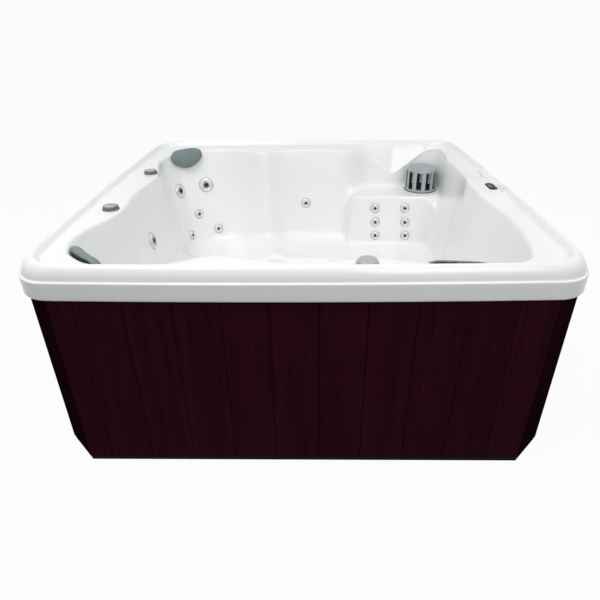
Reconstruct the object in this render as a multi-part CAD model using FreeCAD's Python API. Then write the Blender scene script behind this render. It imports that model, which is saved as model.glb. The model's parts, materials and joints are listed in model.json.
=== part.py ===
import FreeCAD, Part
import math
import os
from FreeCAD import Vector

os.makedirs("parts", exist_ok=True)

# Rim and moulded shell (mm). Z is up, the front of the tub faces -Y.
height = 840.0            # ground to the top of the rim
rim_half = 965.0          # middle of a rim side from the centre, both ways
rim_bow = 12.0            # each side falls back this much towards its corners
rim_corner_r = 130.0
lip_height = 75.0         # flat band below the rim bead
bead_height = 41.0        # rounded bead above that band
ledge = 7.0               # the bead stands back from the band
lip_wall = 7.0
shell_wall = 10.0
bead_facets = 6           # steps round the outer roll of the bead
bead_top_end = 39.0       # crown of the bead, this far in from the rim
bead_join = 3.0           # flat strip at the crown, between the roll and the moulded basin
bead_edge = 42.0          # inner shoulder of the bead
deck_start = 55.0         # foot of the shoulder, where the recessed deck begins
deck_drop = 24.0          # deck below the top of the rim
floor_z = 95.0            # footwell floor
riser_draft = 55.0        # footwell wall leans in by this much
floor_flat = 60.0
shelf_z = 570.0           # filter shelf above the foot panel
panel_draft = 12.0
side_columns = (20, 26, 16, 16)     # right, far, left and near side
corner_columns = 4
face_columns = 3          # columns taken up by one face of the moulded skin

# Seats round the tub, by direction from the centre (degrees, 0 is +X, 90 is +Y):
# direction, basin edge radius, edge below rim, seat back foot radius, seat height, seat front radius
seat_stations = [
    (-179, 795, 30, 715, 335, 400),
    (-169, 806, 30, 725, 335, 405),
    (-159, 822, 28, 745, 330, 430),
    (-153.5, 868, 28, 775, 315, 440),
    (-149, 985, 30, 860, 292, 445),
    (-144, 1072, 30, 926, 258, 450),
    (-137.8, 1116, 30, 960, 248, 455),
    (-131.5, 1114, 30, 960, 248, 455),
    (-124, 1062, 30, 915, 260, 445),
    (-117.5, 968, 28, 850, 292, 430),
    (-110.5, 862, 6, 770, 310, 410),
    (-103, 850, 20, 755, 325, 398),
    (-95, 843, 30, 745, 330, 392),
    (-86, 842, 30, 745, 330, 392),
    (-78, 836, 28, 745, 325, 400),
    (-72, 845, 28, 755, 320, 410),
    (-66, 905, 30, 800, 300, 425),
    (-60, 1000, 35, 870, 275, 440),
    (-52, 1095, 40, 950, 268, 450),
    (-45, 1115, 40, 970, 265, 455),
    (-36, 1038, 45, 905, 270, 450),
    (-28, 965, 45, 850, 285, 440),
    (-17, 885, 48, 790, 330, 425),
    (-9, 805, 18, 745, 325, 415),
    (0, 800, 18, 740, 300, 410),
    (8, 806, 18, 745, 285, 410),
    (13, 862, 50, 790, 275, 412),
    (21, 912, 50, 845, 262, 415),
    (28, 962, 50, 890, 258, 418),
    (33, 1012, 50, 935, 256, 420),
    (69.5, 850, 40, 765, 268, 395),
    (74, 815, 32, 735, 268, 388),
    (83, 803, 30, 722, 265, 380),
    (92, 801, 30, 720, 265, 376),
    (102, 785, 28, 705, 270, 380),
    (109.5, 742, 25, 675, 285, 392),
    (113, 812, 28, 725, 290, 410),
    (117, 888, 28, 790, 288, 425),
    (122, 962, 28, 848, 258, 440),
    (130, 1036, 28, 912, 245, 450),
    (138.5, 1060, 28, 930, 245, 455),
    (148, 992, 28, 870, 252, 445),
    (153.5, 902, 28, 800, 298, 435),
    (158, 845, 28, 760, 320, 425),
    (163, 796, 28, 735, 332, 415),
    (170, 783, 28, 715, 335, 403),
]
# Filter corner: direction, niche edge radius, edge below rim, shelf front radius
shelf_stations = [
    (37, 1055, 48, 980),
    (41, 1135, 45, 905),
    (45.4, 1198, 45, 842),
    (49.5, 1165, 62, 790),
    (53.5, 1035, 165, 748),
    (56.5, 985, 205, 720),
    (60, 958, 125, 694),
    (65, 930, 75, 662),
]
foot_bench_z = 255.0
foot_bench_front = 425.0
# Bends of the shell profile from the bead down to the floor:
# reach along each leg, facets, extra rings on the leg that follows
basin_bends = [(12, 2, 0), (10, 2, 0), (14, 2, 1), (30, 2, 1), (20, 2, 1), (55, 3, 2), (35, 3, 1), (40, 3, 0)]
back_bends = [(8, 1, 0), (8, 1, 0), (20, 1, 1), (30, 1, 1), (20, 1, 1), (50, 2, 2), (40, 1, 1), (40, 2, 0)]


def station_rows():
    rows = []
    for deg, edge_r, drop, base_r, base_z, front_r in seat_stations:
        edge_z = height - drop
        third = [(edge_r + (base_r - edge_r) * k, edge_z + (base_z - edge_z) * k) for k in (0.34, 0.68)]
        rows.append((deg, edge_r, drop, *third[0], *third[1], base_r, base_z, front_r))
    for deg, edge_r, drop, shelf_r in shelf_stations:
        rows.append((deg, edge_r, drop, edge_r - panel_draft, shelf_z, shelf_r, shelf_z,
                     shelf_r - panel_draft, foot_bench_z, foot_bench_front))
    rows.sort()
    first, last = rows[0], rows[-1]
    return [(last[0] - 360, *last[1:])] + rows + [(first[0] + 360, *first[1:])]


station_table = station_rows()


def at_direction(deg):
    for low, high in zip(station_table, station_table[1:]):
        if low[0] <= deg <= high[0]:
            k = (deg - low[0]) / (high[0] - low[0])
            return [a + (b - a) * k for a, b in zip(low[1:], high[1:])]


rim_reach = rim_half - rim_bow - rim_corner_r


def rim_columns():
    points = []
    for turn, count in enumerate(side_columns):
        quarter = []
        for k in range(count):
            y = rim_reach * (2 * k / count - 1)
            quarter.append((rim_half - rim_bow * (y / rim_reach) ** 2, y))
        for k in range(corner_columns):
            a = math.radians(90 * k / corner_columns)
            quarter.append((rim_reach + rim_corner_r * math.cos(a), rim_reach + rim_corner_r * math.sin(a)))
        for spin in range(turn):
            quarter = [(-y, x) for x, y in quarter]
        points += quarter
    return points


def bent(corners, bends):
    rows = []
    extra = 0
    for (a, k, b), (reach, facets, rings) in zip(zip(corners, corners[1:], corners[2:]), bends):
        ends = []
        for end in (a, b):
            span = math.hypot(end[0] - k[0], end[1] - k[1])
            t = min(reach, 0.45 * span) / span
            ends.append((k[0] + (end[0] - k[0]) * t, k[1] + (end[1] - k[1]) * t))
        for step in range(extra):
            t = (step + 1) / (extra + 1)
            rows.append(tuple(p + (q - p) * t for p, q in zip(leg_start, ends[0])))
        extra = rings
        leg_start = ends[1]
        for step in range(facets + 1):
            t = step / facets
            rows.append(tuple((1 - t) ** 2 * p + 2 * t * (1 - t) * c + t * t * q
                              for p, c, q in zip(ends[0], k, ends[1])))
    return [corners[0]] + rows + [corners[-1]]


def set_back(corners, wall):
    normals = []
    for (r0, z0), (r1, z1) in zip(corners, corners[1:]):
        span = math.hypot(r1 - r0, z1 - z0)
        normals.append((-(z1 - z0) / span, (r1 - r0) / span))
    moved = []
    for k, (r, z) in enumerate(corners):
        a = normals[max(k - 1, 0)]
        b = normals[min(k, len(normals) - 1)]
        share = wall / (1 + a[0] * b[0] + a[1] * b[1])
        moved.append((r + (a[0] + b[0]) * share, z + (a[1] + b[1]) * share))
    return moved


def basin_corners(deg, rim_r):
    edge_r, drop, c_r, c_z, s_r, s_z, base_r, base_z, front_r = at_direction(deg)
    inset = [rim_r * (1 - d / rim_half) for d in (bead_top_end, bead_edge, deck_start)]
    deck_z = height - min(deck_drop, drop - 4)
    foot_r = front_r - riser_draft
    return [(inset[0], height), (inset[1], height), (inset[2], deck_z), (edge_r, height - drop),
            (c_r, c_z), (s_r, s_z), (base_r, base_z), (front_r, base_z - 6),
            (foot_r, floor_z), (foot_r - floor_flat, floor_z)]


def ring_wire(points, span=None):
    n = len(points)
    curve = Part.BSplineCurve()
    curve.buildFromPolesMultsKnots(points, [1] * (n + 1), [float(k) for k in range(n + 1)], True, 3)
    if span is None:
        return Part.Wire(curve.toShape())
    marks = list(range(0, n, span)) + [n]
    pieces = [curve.copy() for mark in marks[1:]]
    for piece, start, end in zip(pieces, marks, marks[1:]):
        piece.segment(start, end)
    return Part.Wire([piece.toShape() for piece in pieces])


def basin_wires(wall):
    bends = back_bends if wall else basin_bends
    columns = []
    for x, y in rim_columns():
        rim_r = math.hypot(x, y)
        corners = basin_corners(math.degrees(math.atan2(y, x)), rim_r)
        if wall:
            corners = set_back(corners, wall)
        columns.append([Vector(x / rim_r * r, y / rim_r * r, z) for r, z in bent(corners, bends)])
    return [ring_wire(list(row), face_columns) for row in zip(*columns)]


def rim_wire(inset, z):
    scale = 1 - inset / rim_half
    side_end = Vector(rim_half - rim_bow, rim_reach, 0)
    top_end = Vector(rim_reach, rim_half - rim_bow, 0)
    diagonal = rim_reach + rim_corner_r * math.sqrt(0.5)
    side = (Vector(rim_half - rim_bow, -rim_reach, 0), Vector(rim_half, 0, 0), side_end)
    corner = (side_end, Vector(diagonal, diagonal, 0), top_end)
    edges = []
    for turn in range(4):
        spin = FreeCAD.Rotation(Vector(0, 0, 1), 90 * turn)
        for arc in (side, corner):
            edges.append(Part.Arc(*[spin.multVec(p) * scale + Vector(0, 0, z) for p in arc]).toShape())
    return Part.Wire(edges)


def roll(foot, low, top):
    # quarter of an ellipse from the foot of the bead up to its crown
    crown = bead_top_end - bead_join - foot
    turns = [math.pi / 2 * (k + 1) / bead_facets for k in range(bead_facets)]
    return [(foot + crown * (1 - math.cos(a)), low + (top - low) * math.sin(a)) for a in turns]


def rim_profiles():
    step_z = height - bead_height
    lip_z = step_z - lip_height
    under_z = step_z - lip_wall
    face = [(lip_wall, lip_z), (0, lip_z), (0, step_z), (ledge, step_z), (ledge, height)]
    inside = [(lip_wall, lip_z), (lip_wall, under_z), (ledge + lip_wall, under_z), (ledge + lip_wall, height)]
    return (bent(face, [(8, 3, 0), (8, 3, 0), (3, 1, 0)])[:-1] + roll(ledge, step_z, height),
            bent(inside, [(3, 1, 0), (3, 1, 0)])[:-1] + roll(ledge + lip_wall, under_z, height - shell_wall))


basin_rings = basin_wires(0)


def shell_solid():
    face, inside = [[rim_wire(d, z) for d, z in profile] for profile in rim_profiles()]
    back = basin_wires(shell_wall)
    faces = []
    for wires in (face, inside, basin_rings, back):
        for low, high in zip(wires, wires[1:]):
            faces += [Part.makeRuledSurface(a, b, 1) for a, b in zip(low.OrderedEdges, high.OrderedEdges)]
    for outer, inner in ((face[-1], basin_rings[0]), (inside[-1], back[0])):
        faces.append(Part.makeFace([outer, inner], "Part::FaceMakerBullseye"))
    faces += [Part.Face(basin_rings[-1]), Part.Face(back[-1])]
    sewn = Part.makeShell(faces)
    sewn.sewShape()
    return Part.makeSolid(sewn)


def ring_radii(wire, count=720):
    # radius of one ring of the basin, every half degree of direction
    spots = sorted((math.degrees(math.atan2(p.y, p.x)), math.hypot(p.x, p.y), p.z)
                   for p in wire.discretize(2 * count))
    spots = [(spots[-1][0] - 360, *spots[-1][1:])] + spots + [(spots[0][0] + 360, *spots[0][1:])]
    table = []
    k = 0
    for step in range(count):
        deg = -180 + 360 * step / count
        while spots[k + 1][0] < deg:
            k += 1
        a, b = spots[k], spots[k + 1]
        t = (deg - a[0]) / max(b[0] - a[0], 1e-9)
        table.append((a[1] + (b[1] - a[1]) * t, a[2] + (b[2] - a[2]) * t))
    return table


ring_tables = [ring_radii(wire) for wire in basin_rings]


def wall_radius(deg, z):
    place = ((deg + 180) % 360) * 2
    k = int(place)
    t = place - k
    n = len(ring_tables[0])
    profile = []
    for table in ring_tables:
        a, b = table[k % n], table[(k + 1) % n]
        profile.append((a[0] + (b[0] - a[0]) * t, a[1] + (b[1] - a[1]) * t))
    for (r0, z0), (r1, z1) in zip(profile, profile[1:]):
        if z1 <= z <= z0 and z0 > z1:
            return r0 + (r1 - r0) * (z0 - z) / (z0 - z1)


def polar(deg, r, z):
    a = math.radians(deg)
    return Vector(r * math.cos(a), r * math.sin(a), z)


def wall_frame(deg, z, reach=25.0):
    # point on the basin wall and the direction square to it, into the tub
    point = polar(deg, wall_radius(deg, z), z)
    turn = math.degrees(reach / point.Length)
    left, right = [polar(d, wall_radius(d, z), z) for d in (deg + turn, deg - turn)]
    high, low = [polar(deg, wall_radius(deg, h), h) for h in (z + reach, z - reach)]
    normal = (high - low).cross(left - right).normalize()
    return point, normal if normal.dot(Vector(point.x, point.y, 0)) < 0 else normal * -1


def ring_of(shapes):
    return Part.makeCompound(shapes)


def save(name, shape):
    shape.exportStep("parts/" + name + ".step")


def tube(outer_r, inner_r, z0, z1):
    whole = Part.makeCylinder(outer_r, z1 - z0, Vector(0, 0, z0))
    return whole.cut(Part.makeCylinder(inner_r, z1 - z0, Vector(0, 0, z0)))


def turned(profile):
    points = [Vector(r, 0, z) for r, z in profile]
    face = Part.Face(Part.makePolygon(points + points[:1]))
    return face.revolve(Vector(0, 0, 0), Vector(0, 0, 1), 360)


def placed(shape, point, normal=Vector(0, 0, 1)):
    moved = shape.copy()
    moved.Placement = FreeCAD.Placement(point, FreeCAD.Rotation(Vector(0, 0, 1), normal))
    return moved


def around(count, radius, start=0.0):
    for k in range(count):
        a = math.radians(start + 360.0 * k / count)
        yield Vector(radius * math.cos(a), radius * math.sin(a), 0)


# Fits shared by every fitting
seat_gap = 0.3            # a fitting stands off the moulded wall by this much
run_fit = 0.06            # radial clearance of a turning stem in its sleeve
spot_depth = 3.5          # flat seats sunk into the moulded wall

# Jets: face radius, sleeve radius, sleeve length behind the wall
large_jet = {"face": 42.0, "sleeve": 27.0, "length": 70.0}
small_jet = {"face": 27.0, "sleeve": 17.0, "length": 55.0}
jet_sleeve_wall = 3.0
jet_flange_top = 1.0
jet_face_rise = 8.0
# name, kind, direction in degrees, height
jets = [
    ("far_left_upper_left", large_jet, 140.4, 603.0),
    ("far_left_upper_right", large_jet, 129.7, 604.0),
    ("far_left_middle", small_jet, 134.7, 436.0),
    ("far_left_lower_right", small_jet, 128.4, 325.0),
    ("far_left_lower_left", small_jet, 140.1, 325.0),
    ("mid_left", large_jet, -176.0, 560.0),
    ("far_middle", small_jet, 89.4, 483.0),
    ("foot_left_top", small_jet, 54.1, 499.0),
    ("foot_left_middle", small_jet, 53.6, 409.0),
    ("foot_left_bottom", small_jet, 53.2, 322.0),
    ("foot_right_top", small_jet, 44.1, 499.0),
    ("foot_right_middle", small_jet, 43.6, 409.0),
    ("foot_right_bottom", small_jet, 43.1, 322.0),
    ("near_left_upper_left", large_jet, -139.0, 603.0),
    ("near_left_upper_right", large_jet, -129.0, 603.0),
    ("near_left_lower", small_jet, -134.0, 400.0),
    ("lounge_upper_left", large_jet, -63.5, 600.0),
    ("lounge_upper_right", large_jet, -52.0, 600.0),
    ("lounge_lower", small_jet, -57.0, 400.0),
]

# Deck fittings: flat seats on the recessed deck
deck_seat_z = 811.5
air_spots = [("near", Vector(-825, -307, 0)), ("far", Vector(-812, 266, 0))]
air_bezel_r = 36.0
air_knob_r = 32.0
air_sleeve_r = 18.0
air_sleeve_end = 765.0
diverter_spot = Vector(219, -866, 0)
diverter_bezel_r = 39.0
diverter_knob_r = 34.0
diverter_sleeve_r = 22.0
diverter_valve_r = 23.5
diverter_valve_z = (640.0, 760.0)
sleeve_wall = 3.0
bezel_rise = 5.0

# Top side control, on the right rim
control_spot = Vector(880, -48, 0)
control_seat_z = 820.5
control_long = 96.0
control_wide = 38.0
control_rise = 7.0
control_box = (60.0, 26.0, 24.0)
window_size = (36.0, 13.0, 2.0)
window_shift = 7.0
button_r = 5.0
button_gap = 0.3
button_rise = 1.6
button_travel = 1.0
button_spots = [("jets", -35.0, 0.0), ("light", 35.0, 0.0), ("warmer", -12.0, -10.0), ("cooler", 12.0, -10.0)]
notch_ends = (-146.0, 211.0)
notch_slope = 22.0
notch_z = 826.0

# Filter
filter_axis = Vector(732, 760, 0)
filter_flange_r = 99.0
canister_r = 83.0
canister_wall = 4.0
canister_bottom = 330.0
cartridge_r = 72.0
cartridge_core_r = 26.0
cartridge_pleats = 44
basket_r = 90.0
basket_flange_r = 96.0
basket_top = 713.0
basket_wall = 4.0
basket_slots = 10
basket_slot_width = 32.0

# Footwell fittings: direction and height
suction_spots = [(-70.0, 205.0), (-110.0, 205.0)]
suction_r = 48.0
light_spot = (-90.0, 215.0)
light_r = 40.0

# Pillows: direction, height of the middle, half width, half height, thickness
pillows = [
    ("far_left", 135.0, 780.0, 128.0, 57.0, 46.0),
    ("near_left", -135.0, 765.0, 122.0, 57.0, 54.0),
    ("near_right", -58.6, 758.0, 110.0, 57.0, 46.0),
]
pillow_taper = 0.5        # the lower half narrows to a rounded point
pillow_squareness = (0.5, 0.75)     # of the upper and the lower half, 1 is round
pillow_wall_top = 796.0   # the back stands straight above this height, clear of the deck edge

# Cabinet
cabinet_half = 952.0
cabinet_chamfer = 115.0
board_thick = 14.0
board_pitch = 162.0
board_first = 61.0
board_gap = 1.0
board_groove = 2.5
skirt_bottom = 20.0
skirt_top = 720.0
pan_half = 949.0
pan_height = 19.0
pan_floor = 6.0
pan_edge = 9.0

# Frame
timber = 38.0
timber_deep = 64.0
rail_top = 750.0
frame_reach = 800.0
stud_places = (-700.0, -300.0, 300.0, 700.0)
post_width = 100.0
support_places = (-120.0, 120.0)
support_length = 420.0
screw_z = 32.0
screw_r = 2.2
screw_head_r = 4.5
screw_length = 34.0


def stadium(length, width, z0, z1):
    half = (length - width) / 2
    slab = Part.makeBox(2 * half, width, z1 - z0, Vector(-half, -width / 2, z0))
    for side in (-half, half):
        slab = slab.fuse(Part.makeCylinder(width / 2, z1 - z0, Vector(side, 0, z0)))
    return slab.removeSplitter()


def jet_places():
    for name, kind, deg, z in jets:
        yield name, kind, wall_frame(deg, z)


def shell_cuts():
    tools = []
    for name, kind, (point, normal) in jet_places():
        seat = Part.makeCylinder(kind["face"] + 4, 60, Vector(0, 0, -spot_depth))
        bore = Part.makeCylinder(kind["sleeve"] + seat_gap, 60, Vector(0, 0, -50))
        tools.append(placed(seat.fuse(bore), point, normal))
    for deg, z in suction_spots:
        seat = Part.makeCylinder(suction_r + 2, 40, Vector(0, 0, -spot_depth))
        bore = Part.makeCylinder(suction_r / 2 + seat_gap, 60, Vector(0, 0, -50))
        tools.append(placed(seat.fuse(bore), *wall_frame(deg, z)))
    seat = Part.makeCylinder(light_r + 2, 40, Vector(0, 0, -spot_depth))
    bore = Part.makeCylinder(light_r * 0.7 + seat_gap, 60, Vector(0, 0, -50))
    tools.append(placed(seat.fuse(bore), *wall_frame(*light_spot)))
    deck = [(spot, air_bezel_r, air_sleeve_r) for name, spot in air_spots]
    for spot, bezel_r, sleeve_r in deck + [(diverter_spot, diverter_bezel_r, diverter_sleeve_r)]:
        seat = Part.makeCylinder(bezel_r + 1, 60, Vector(0, 0, deck_seat_z))
        bore = Part.makeCylinder(sleeve_r + seat_gap, 60, Vector(0, 0, deck_seat_z - 50))
        tools.append(placed(seat.fuse(bore), spot))
    seat = stadium(control_long + 2, control_wide + 2, control_seat_z, control_seat_z + 40)
    box = Part.makeBox(control_box[0] + 1, control_box[1] + 1, 60,
                       Vector(-control_box[0] / 2 - 0.5, -control_box[1] / 2 - 0.5, control_seat_z - 50))
    tools.append(on_control(seat.fuse(box)))
    seat = Part.makeCylinder(filter_flange_r + 2, 60, Vector(0, 0, shelf_z - 1.5))
    bore = Part.makeCylinder(canister_r + seat_gap, 100, Vector(0, 0, shelf_z - 60))
    tools.append(placed(seat.fuse(bore), filter_axis))
    return tools


def on_control(shape):
    moved = shape.copy()
    moved.Placement = FreeCAD.Placement(control_spot, FreeCAD.Rotation(Vector(0, 0, 1), 90))
    return moved


def finished_shell():
    inner = bead_top_end + 25
    low, high = notch_ends
    pad = Part.makeBox(inner - ledge - 15, high - low, 18,
                       Vector(rim_half - inner, low, notch_z - 12))
    above = height + 1
    corners = [(low, above), (low + notch_slope, notch_z), (high - notch_slope, notch_z), (high, above)]
    points = [Vector(rim_half - inner - 20, y, z) for y, z in corners]
    notch = Part.Face(Part.makePolygon(points + points[:1])).extrude(Vector(inner + 40, 0, 0))
    return shell_solid().fuse(pad).cut(notch).cut(shell_cuts())


def jet_body(kind):
    inner = kind["sleeve"] - jet_sleeve_wall
    low = -spot_depth + seat_gap
    flange = tube(kind["face"] + 3, inner, low, jet_flange_top)
    sleeve = tube(kind["sleeve"], inner, -kind["length"], low)
    cap = Part.makeCylinder(kind["sleeve"], 4, Vector(0, 0, -kind["length"] - 4))
    inlet = Part.makeCylinder(9, kind["sleeve"] + 22, Vector(0, 0, -kind["length"] + 12), Vector(1, 0, 0))
    inlet = inlet.cut(Part.makeCylinder(inner, kind["length"], Vector(0, 0, -kind["length"])))
    return flange.fuse([sleeve, cap, inlet]).removeSplitter()


def jet_nozzle(kind):
    face = kind["face"]
    stem = kind["sleeve"] - jet_sleeve_wall - run_fit
    low = jet_flange_top + seat_gap
    top = low + jet_face_rise
    nozzle = turned([(0, -20), (stem, -20), (stem, low), (face, low), (face, low + 2), (face - 4, top - 1),
                     (face * 0.78, top), (face * 0.62, top - 4), (face * 0.42, top - 1.5),
                     (face * 0.24, top - 1.5), (face * 0.2, -12), (0, -12)])
    for spot in around(3, face * 0.52):
        nozzle = nozzle.cut(Part.makeCylinder(face * 0.09, 20, spot + Vector(0, 0, top - 7)))
    return nozzle


def make_jets():
    bodies = []
    for name, kind, (point, normal) in jet_places():
        bodies.append(placed(jet_body(kind), point, normal))
        save("jet_" + name, placed(jet_nozzle(kind), point, normal))
    save("jet_bodies", ring_of(bodies))


def fluted_knob(radius, z0, z1, stem_r, stem_z, flutes):
    edge = 3.0
    knob = turned([(0, stem_z), (stem_r, stem_z), (stem_r, z0), (radius, z0), (radius, z1 - edge),
                   (radius - edge, z1), (radius * 0.55, z1 + 1.5), (0, z1 + 2)])
    for spot in around(flutes, radius + 2.5):
        knob = knob.cut(Part.makeCylinder(5, z1 - z0 + 10, spot + Vector(0, 0, z0 + 2)))
    return knob


def make_deck_fittings():
    low = deck_seat_z + seat_gap
    bezels = []
    for name, spot in air_spots:
        inner = air_sleeve_r - sleeve_wall
        bezel = tube(air_bezel_r, inner, low, low + bezel_rise)
        bezels.append(placed(bezel.fuse(tube(air_sleeve_r, inner, air_sleeve_end, low)), spot))
        knob = fluted_knob(air_knob_r, low + bezel_rise + seat_gap, low + bezel_rise + 13,
                           inner - run_fit, air_sleeve_end + 15, 10)
        save("air_knob_" + name, placed(knob, spot))
    save("air_control_bezels", ring_of(bezels))
    inner = diverter_sleeve_r - sleeve_wall
    body = tube(diverter_bezel_r, inner, low, low + bezel_rise)
    bottom, top = diverter_valve_z
    body = body.fuse([tube(diverter_sleeve_r, inner, bottom + 6, low),
                      tube(diverter_valve_r, inner, bottom + 6, top),
                      Part.makeCylinder(diverter_valve_r, 6, Vector(0, 0, bottom))])
    save("diverter_body", placed(body.removeSplitter(), diverter_spot))
    knob = fluted_knob(diverter_knob_r, low + bezel_rise + seat_gap, low + bezel_rise + 14,
                       inner - run_fit, bottom + 25, 0)
    save("diverter_knob", placed(knob, diverter_spot))


def make_control():
    low = control_seat_z + seat_gap
    top = low + control_rise
    long, wide, deep = control_box
    plate = stadium(control_long, control_wide, low, top)
    plate = plate.makeChamfer(2.0, [e for e in plate.Edges if e.BoundBox.ZMin > top - 0.01])
    box = Part.makeBox(long, wide, deep, Vector(-long / 2, -wide / 2, low - deep))
    housing = plate.fuse(box).removeSplitter()
    win_l, win_w, win_d = window_size
    window = Part.makeBox(win_l, win_w, win_d, Vector(-win_l / 2, window_shift - win_w / 2, top - win_d))
    corner = Vector(-win_l / 2 - seat_gap, window_shift - win_w / 2 - seat_gap, top - win_d - seat_gap)
    housing = housing.cut(Part.makeBox(win_l + 2 * seat_gap, win_w + 2 * seat_gap, win_d + seat_gap, corner))
    save("control_display", on_control(window))
    for name, x, y in button_spots:
        spot = Vector(x, y, 0)
        pit = top - 4.0
        housing = housing.cut(Part.makeCylinder(button_r + button_gap, 10, spot + Vector(0, 0, pit)))
        height_now = 4.0 - button_travel - 0.5 + button_rise
        button = Part.makeCylinder(button_r, height_now, spot + Vector(0, 0, pit + button_travel + 0.5))
        button = button.makeChamfer(0.6, [e for e in button.Edges if e.BoundBox.ZMin > top])
        save("control_button_" + name, on_control(button))
    save("control_housing", on_control(housing))


def make_filter():
    low = shelf_z - 1.5 + seat_gap
    rim_top = low + 4.0
    inner = canister_r - canister_wall
    can = tube(filter_flange_r, inner, low, rim_top).fuse([
        tube(canister_r, inner, canister_bottom, low),
        tube(canister_r, 20, canister_bottom - 4, canister_bottom),
        tube(25, 20, canister_bottom - 40, canister_bottom - 4)])
    save("filter_canister", placed(can.removeSplitter(), filter_axis))
    star = []
    for k in range(2 * cartridge_pleats):
        a = math.pi * k / cartridge_pleats
        r = cartridge_r if k % 2 else cartridge_r - 14
        star.append(Vector(r * math.cos(a), r * math.sin(a), canister_bottom + 6))
    media = Part.Face(Part.makePolygon(star + star[:1])).extrude(Vector(0, 0, 199))
    ends = [Part.makeCylinder(cartridge_r + 2, 7, Vector(0, 0, canister_bottom + z)) for z in (0, 203)]
    core = Part.makeCylinder(cartridge_core_r, 300, Vector(0, 0, canister_bottom - 20))
    save("filter_cartridge", placed(media.fuse(ends).cut(core), filter_axis))
    foot = rim_top + seat_gap
    lining = basket_r - basket_wall
    basket = turned([(inner - 0.5, low - 12), (inner - 0.5, foot), (basket_flange_r, foot),
                     (basket_flange_r, foot + 6), (basket_r, foot + 9), (basket_r, basket_top - 18),
                     (basket_r - 4, basket_top - 6), (basket_r - 16, basket_top), (0, basket_top),
                     (0, basket_top - 5), (lining - 14, basket_top - 5), (lining - 3, basket_top - 12),
                     (lining, basket_top - 20), (lining, foot + 9), (inner - 5, foot + 2), (inner - 5, low - 12)])
    slot_low, slot_top = foot + 11, basket_top - 23
    for spot in around(basket_slots, basket_r):
        slot = Part.makeBox(30, basket_slot_width, slot_top - slot_low,
                            Vector(-15, -basket_slot_width / 2, slot_low))
        slot.Placement = FreeCAD.Placement(spot, FreeCAD.Rotation(Vector(1, 0, 0), spot))
        basket = basket.cut(slot)
    save("filter_basket", placed(basket, filter_axis))


def make_footwell_fittings():
    low = -spot_depth + seat_gap
    covers = []
    for deg, z in suction_spots:
        cover = turned([(suction_r / 2 - 4, -45), (suction_r / 2, -45), (suction_r / 2, low), (suction_r, low),
                        (suction_r, low + 5), (suction_r * 0.75, low + 13), (0, low + 15), (0, low + 10),
                        (suction_r / 2 - 4, low + 9)])
        for k in range(10):
            slot = Part.makeBox(suction_r * 0.45, 3.5, 40, Vector(suction_r * 0.12, -1.75, low + 4))
            slot.rotate(Vector(0, 0, 0), Vector(0, 0, 1), 36 * k)
            cover = cover.cut(slot)
        covers.append(placed(cover, *wall_frame(deg, z)))
    save("suction_covers", ring_of(covers))
    lens = turned([(0, -38), (light_r * 0.7, -38), (light_r * 0.7, low), (light_r, low), (light_r, low + 4),
                   (light_r * 0.85, low + 8), (light_r * 0.5, low + 11), (0, low + 12)])
    save("light_lens", placed(lens, *wall_frame(*light_spot)))


def make_pillows():
    steps = [(0.55, 0.9), (0.9, 1.2), (0.985, 6.0), (1.0, 15.0), (0.975, 25.0), (0.9, 33.0), (0.76, 39.5),
             (0.5, 44.0)]
    for name, deg, mid_z, half_w, half_h, thick in pillows:
        point, normal = wall_frame(deg, mid_z - 60)
        inward = Vector(normal.x, normal.y, 0).normalize()
        reach = point.Length
        rings = []
        for scale, off in steps:
            spots = []
            for k in range(28):
                a = 2 * math.pi * k / 28
                power = pillow_squareness[0 if math.sin(a) > 0 else 1]
                x = abs(math.cos(a)) ** power * math.copysign(half_w * scale, math.cos(a))
                z = abs(math.sin(a)) ** power * math.copysign(half_h * scale, math.sin(a))
                x *= 1 - pillow_taper * max(0.0, -z / half_h)
                d = deg + math.degrees(x / reach)
                back_r = wall_radius(d, min(mid_z + z, pillow_wall_top))
                spots.append(polar(d, back_r, mid_z + z) + inward * (off * thick / 46.0))
            rings.append(ring_wire(spots))
        mid = polar(deg, wall_radius(deg, mid_z), mid_z)
        tips = [Part.Vertex(mid + inward * off) for off in (0.7, thick)]
        save("pillow_" + name, Part.makeLoft([tips[0]] + rings + [tips[1]], True, True))


def octagon(half, chamfer, z0, z1):
    near = half - chamfer
    plan = [(half, -near), (half, near), (near, half), (-near, half),
            (-half, near), (-half, -near), (-near, -half), (near, -half)]
    points = [Vector(x, y, z0) for x, y in plan]
    return Part.Face(Part.makePolygon(points + points[:1])).extrude(Vector(0, 0, z1 - z0))


side_turns = (("front", 0), ("right", 90), ("back", 180), ("left", 270))


def spun(shape, turn):
    moved = shape.copy()
    moved.rotate(Vector(0, 0, 0), Vector(0, 0, 1), turn)
    return moved


def screw_tool(x, radius, depth):
    return Part.makeCylinder(radius, depth, Vector(x, -cabinet_half, screw_z), Vector(0, 1, 0))


# Drain valve: place on the right side, stub and flange, pocket in the board
drain_spot = (-500.0, 70.0)
drain_r = 13.2
drain_flange_r = 26.0
drain_pocket = 6.0


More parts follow.
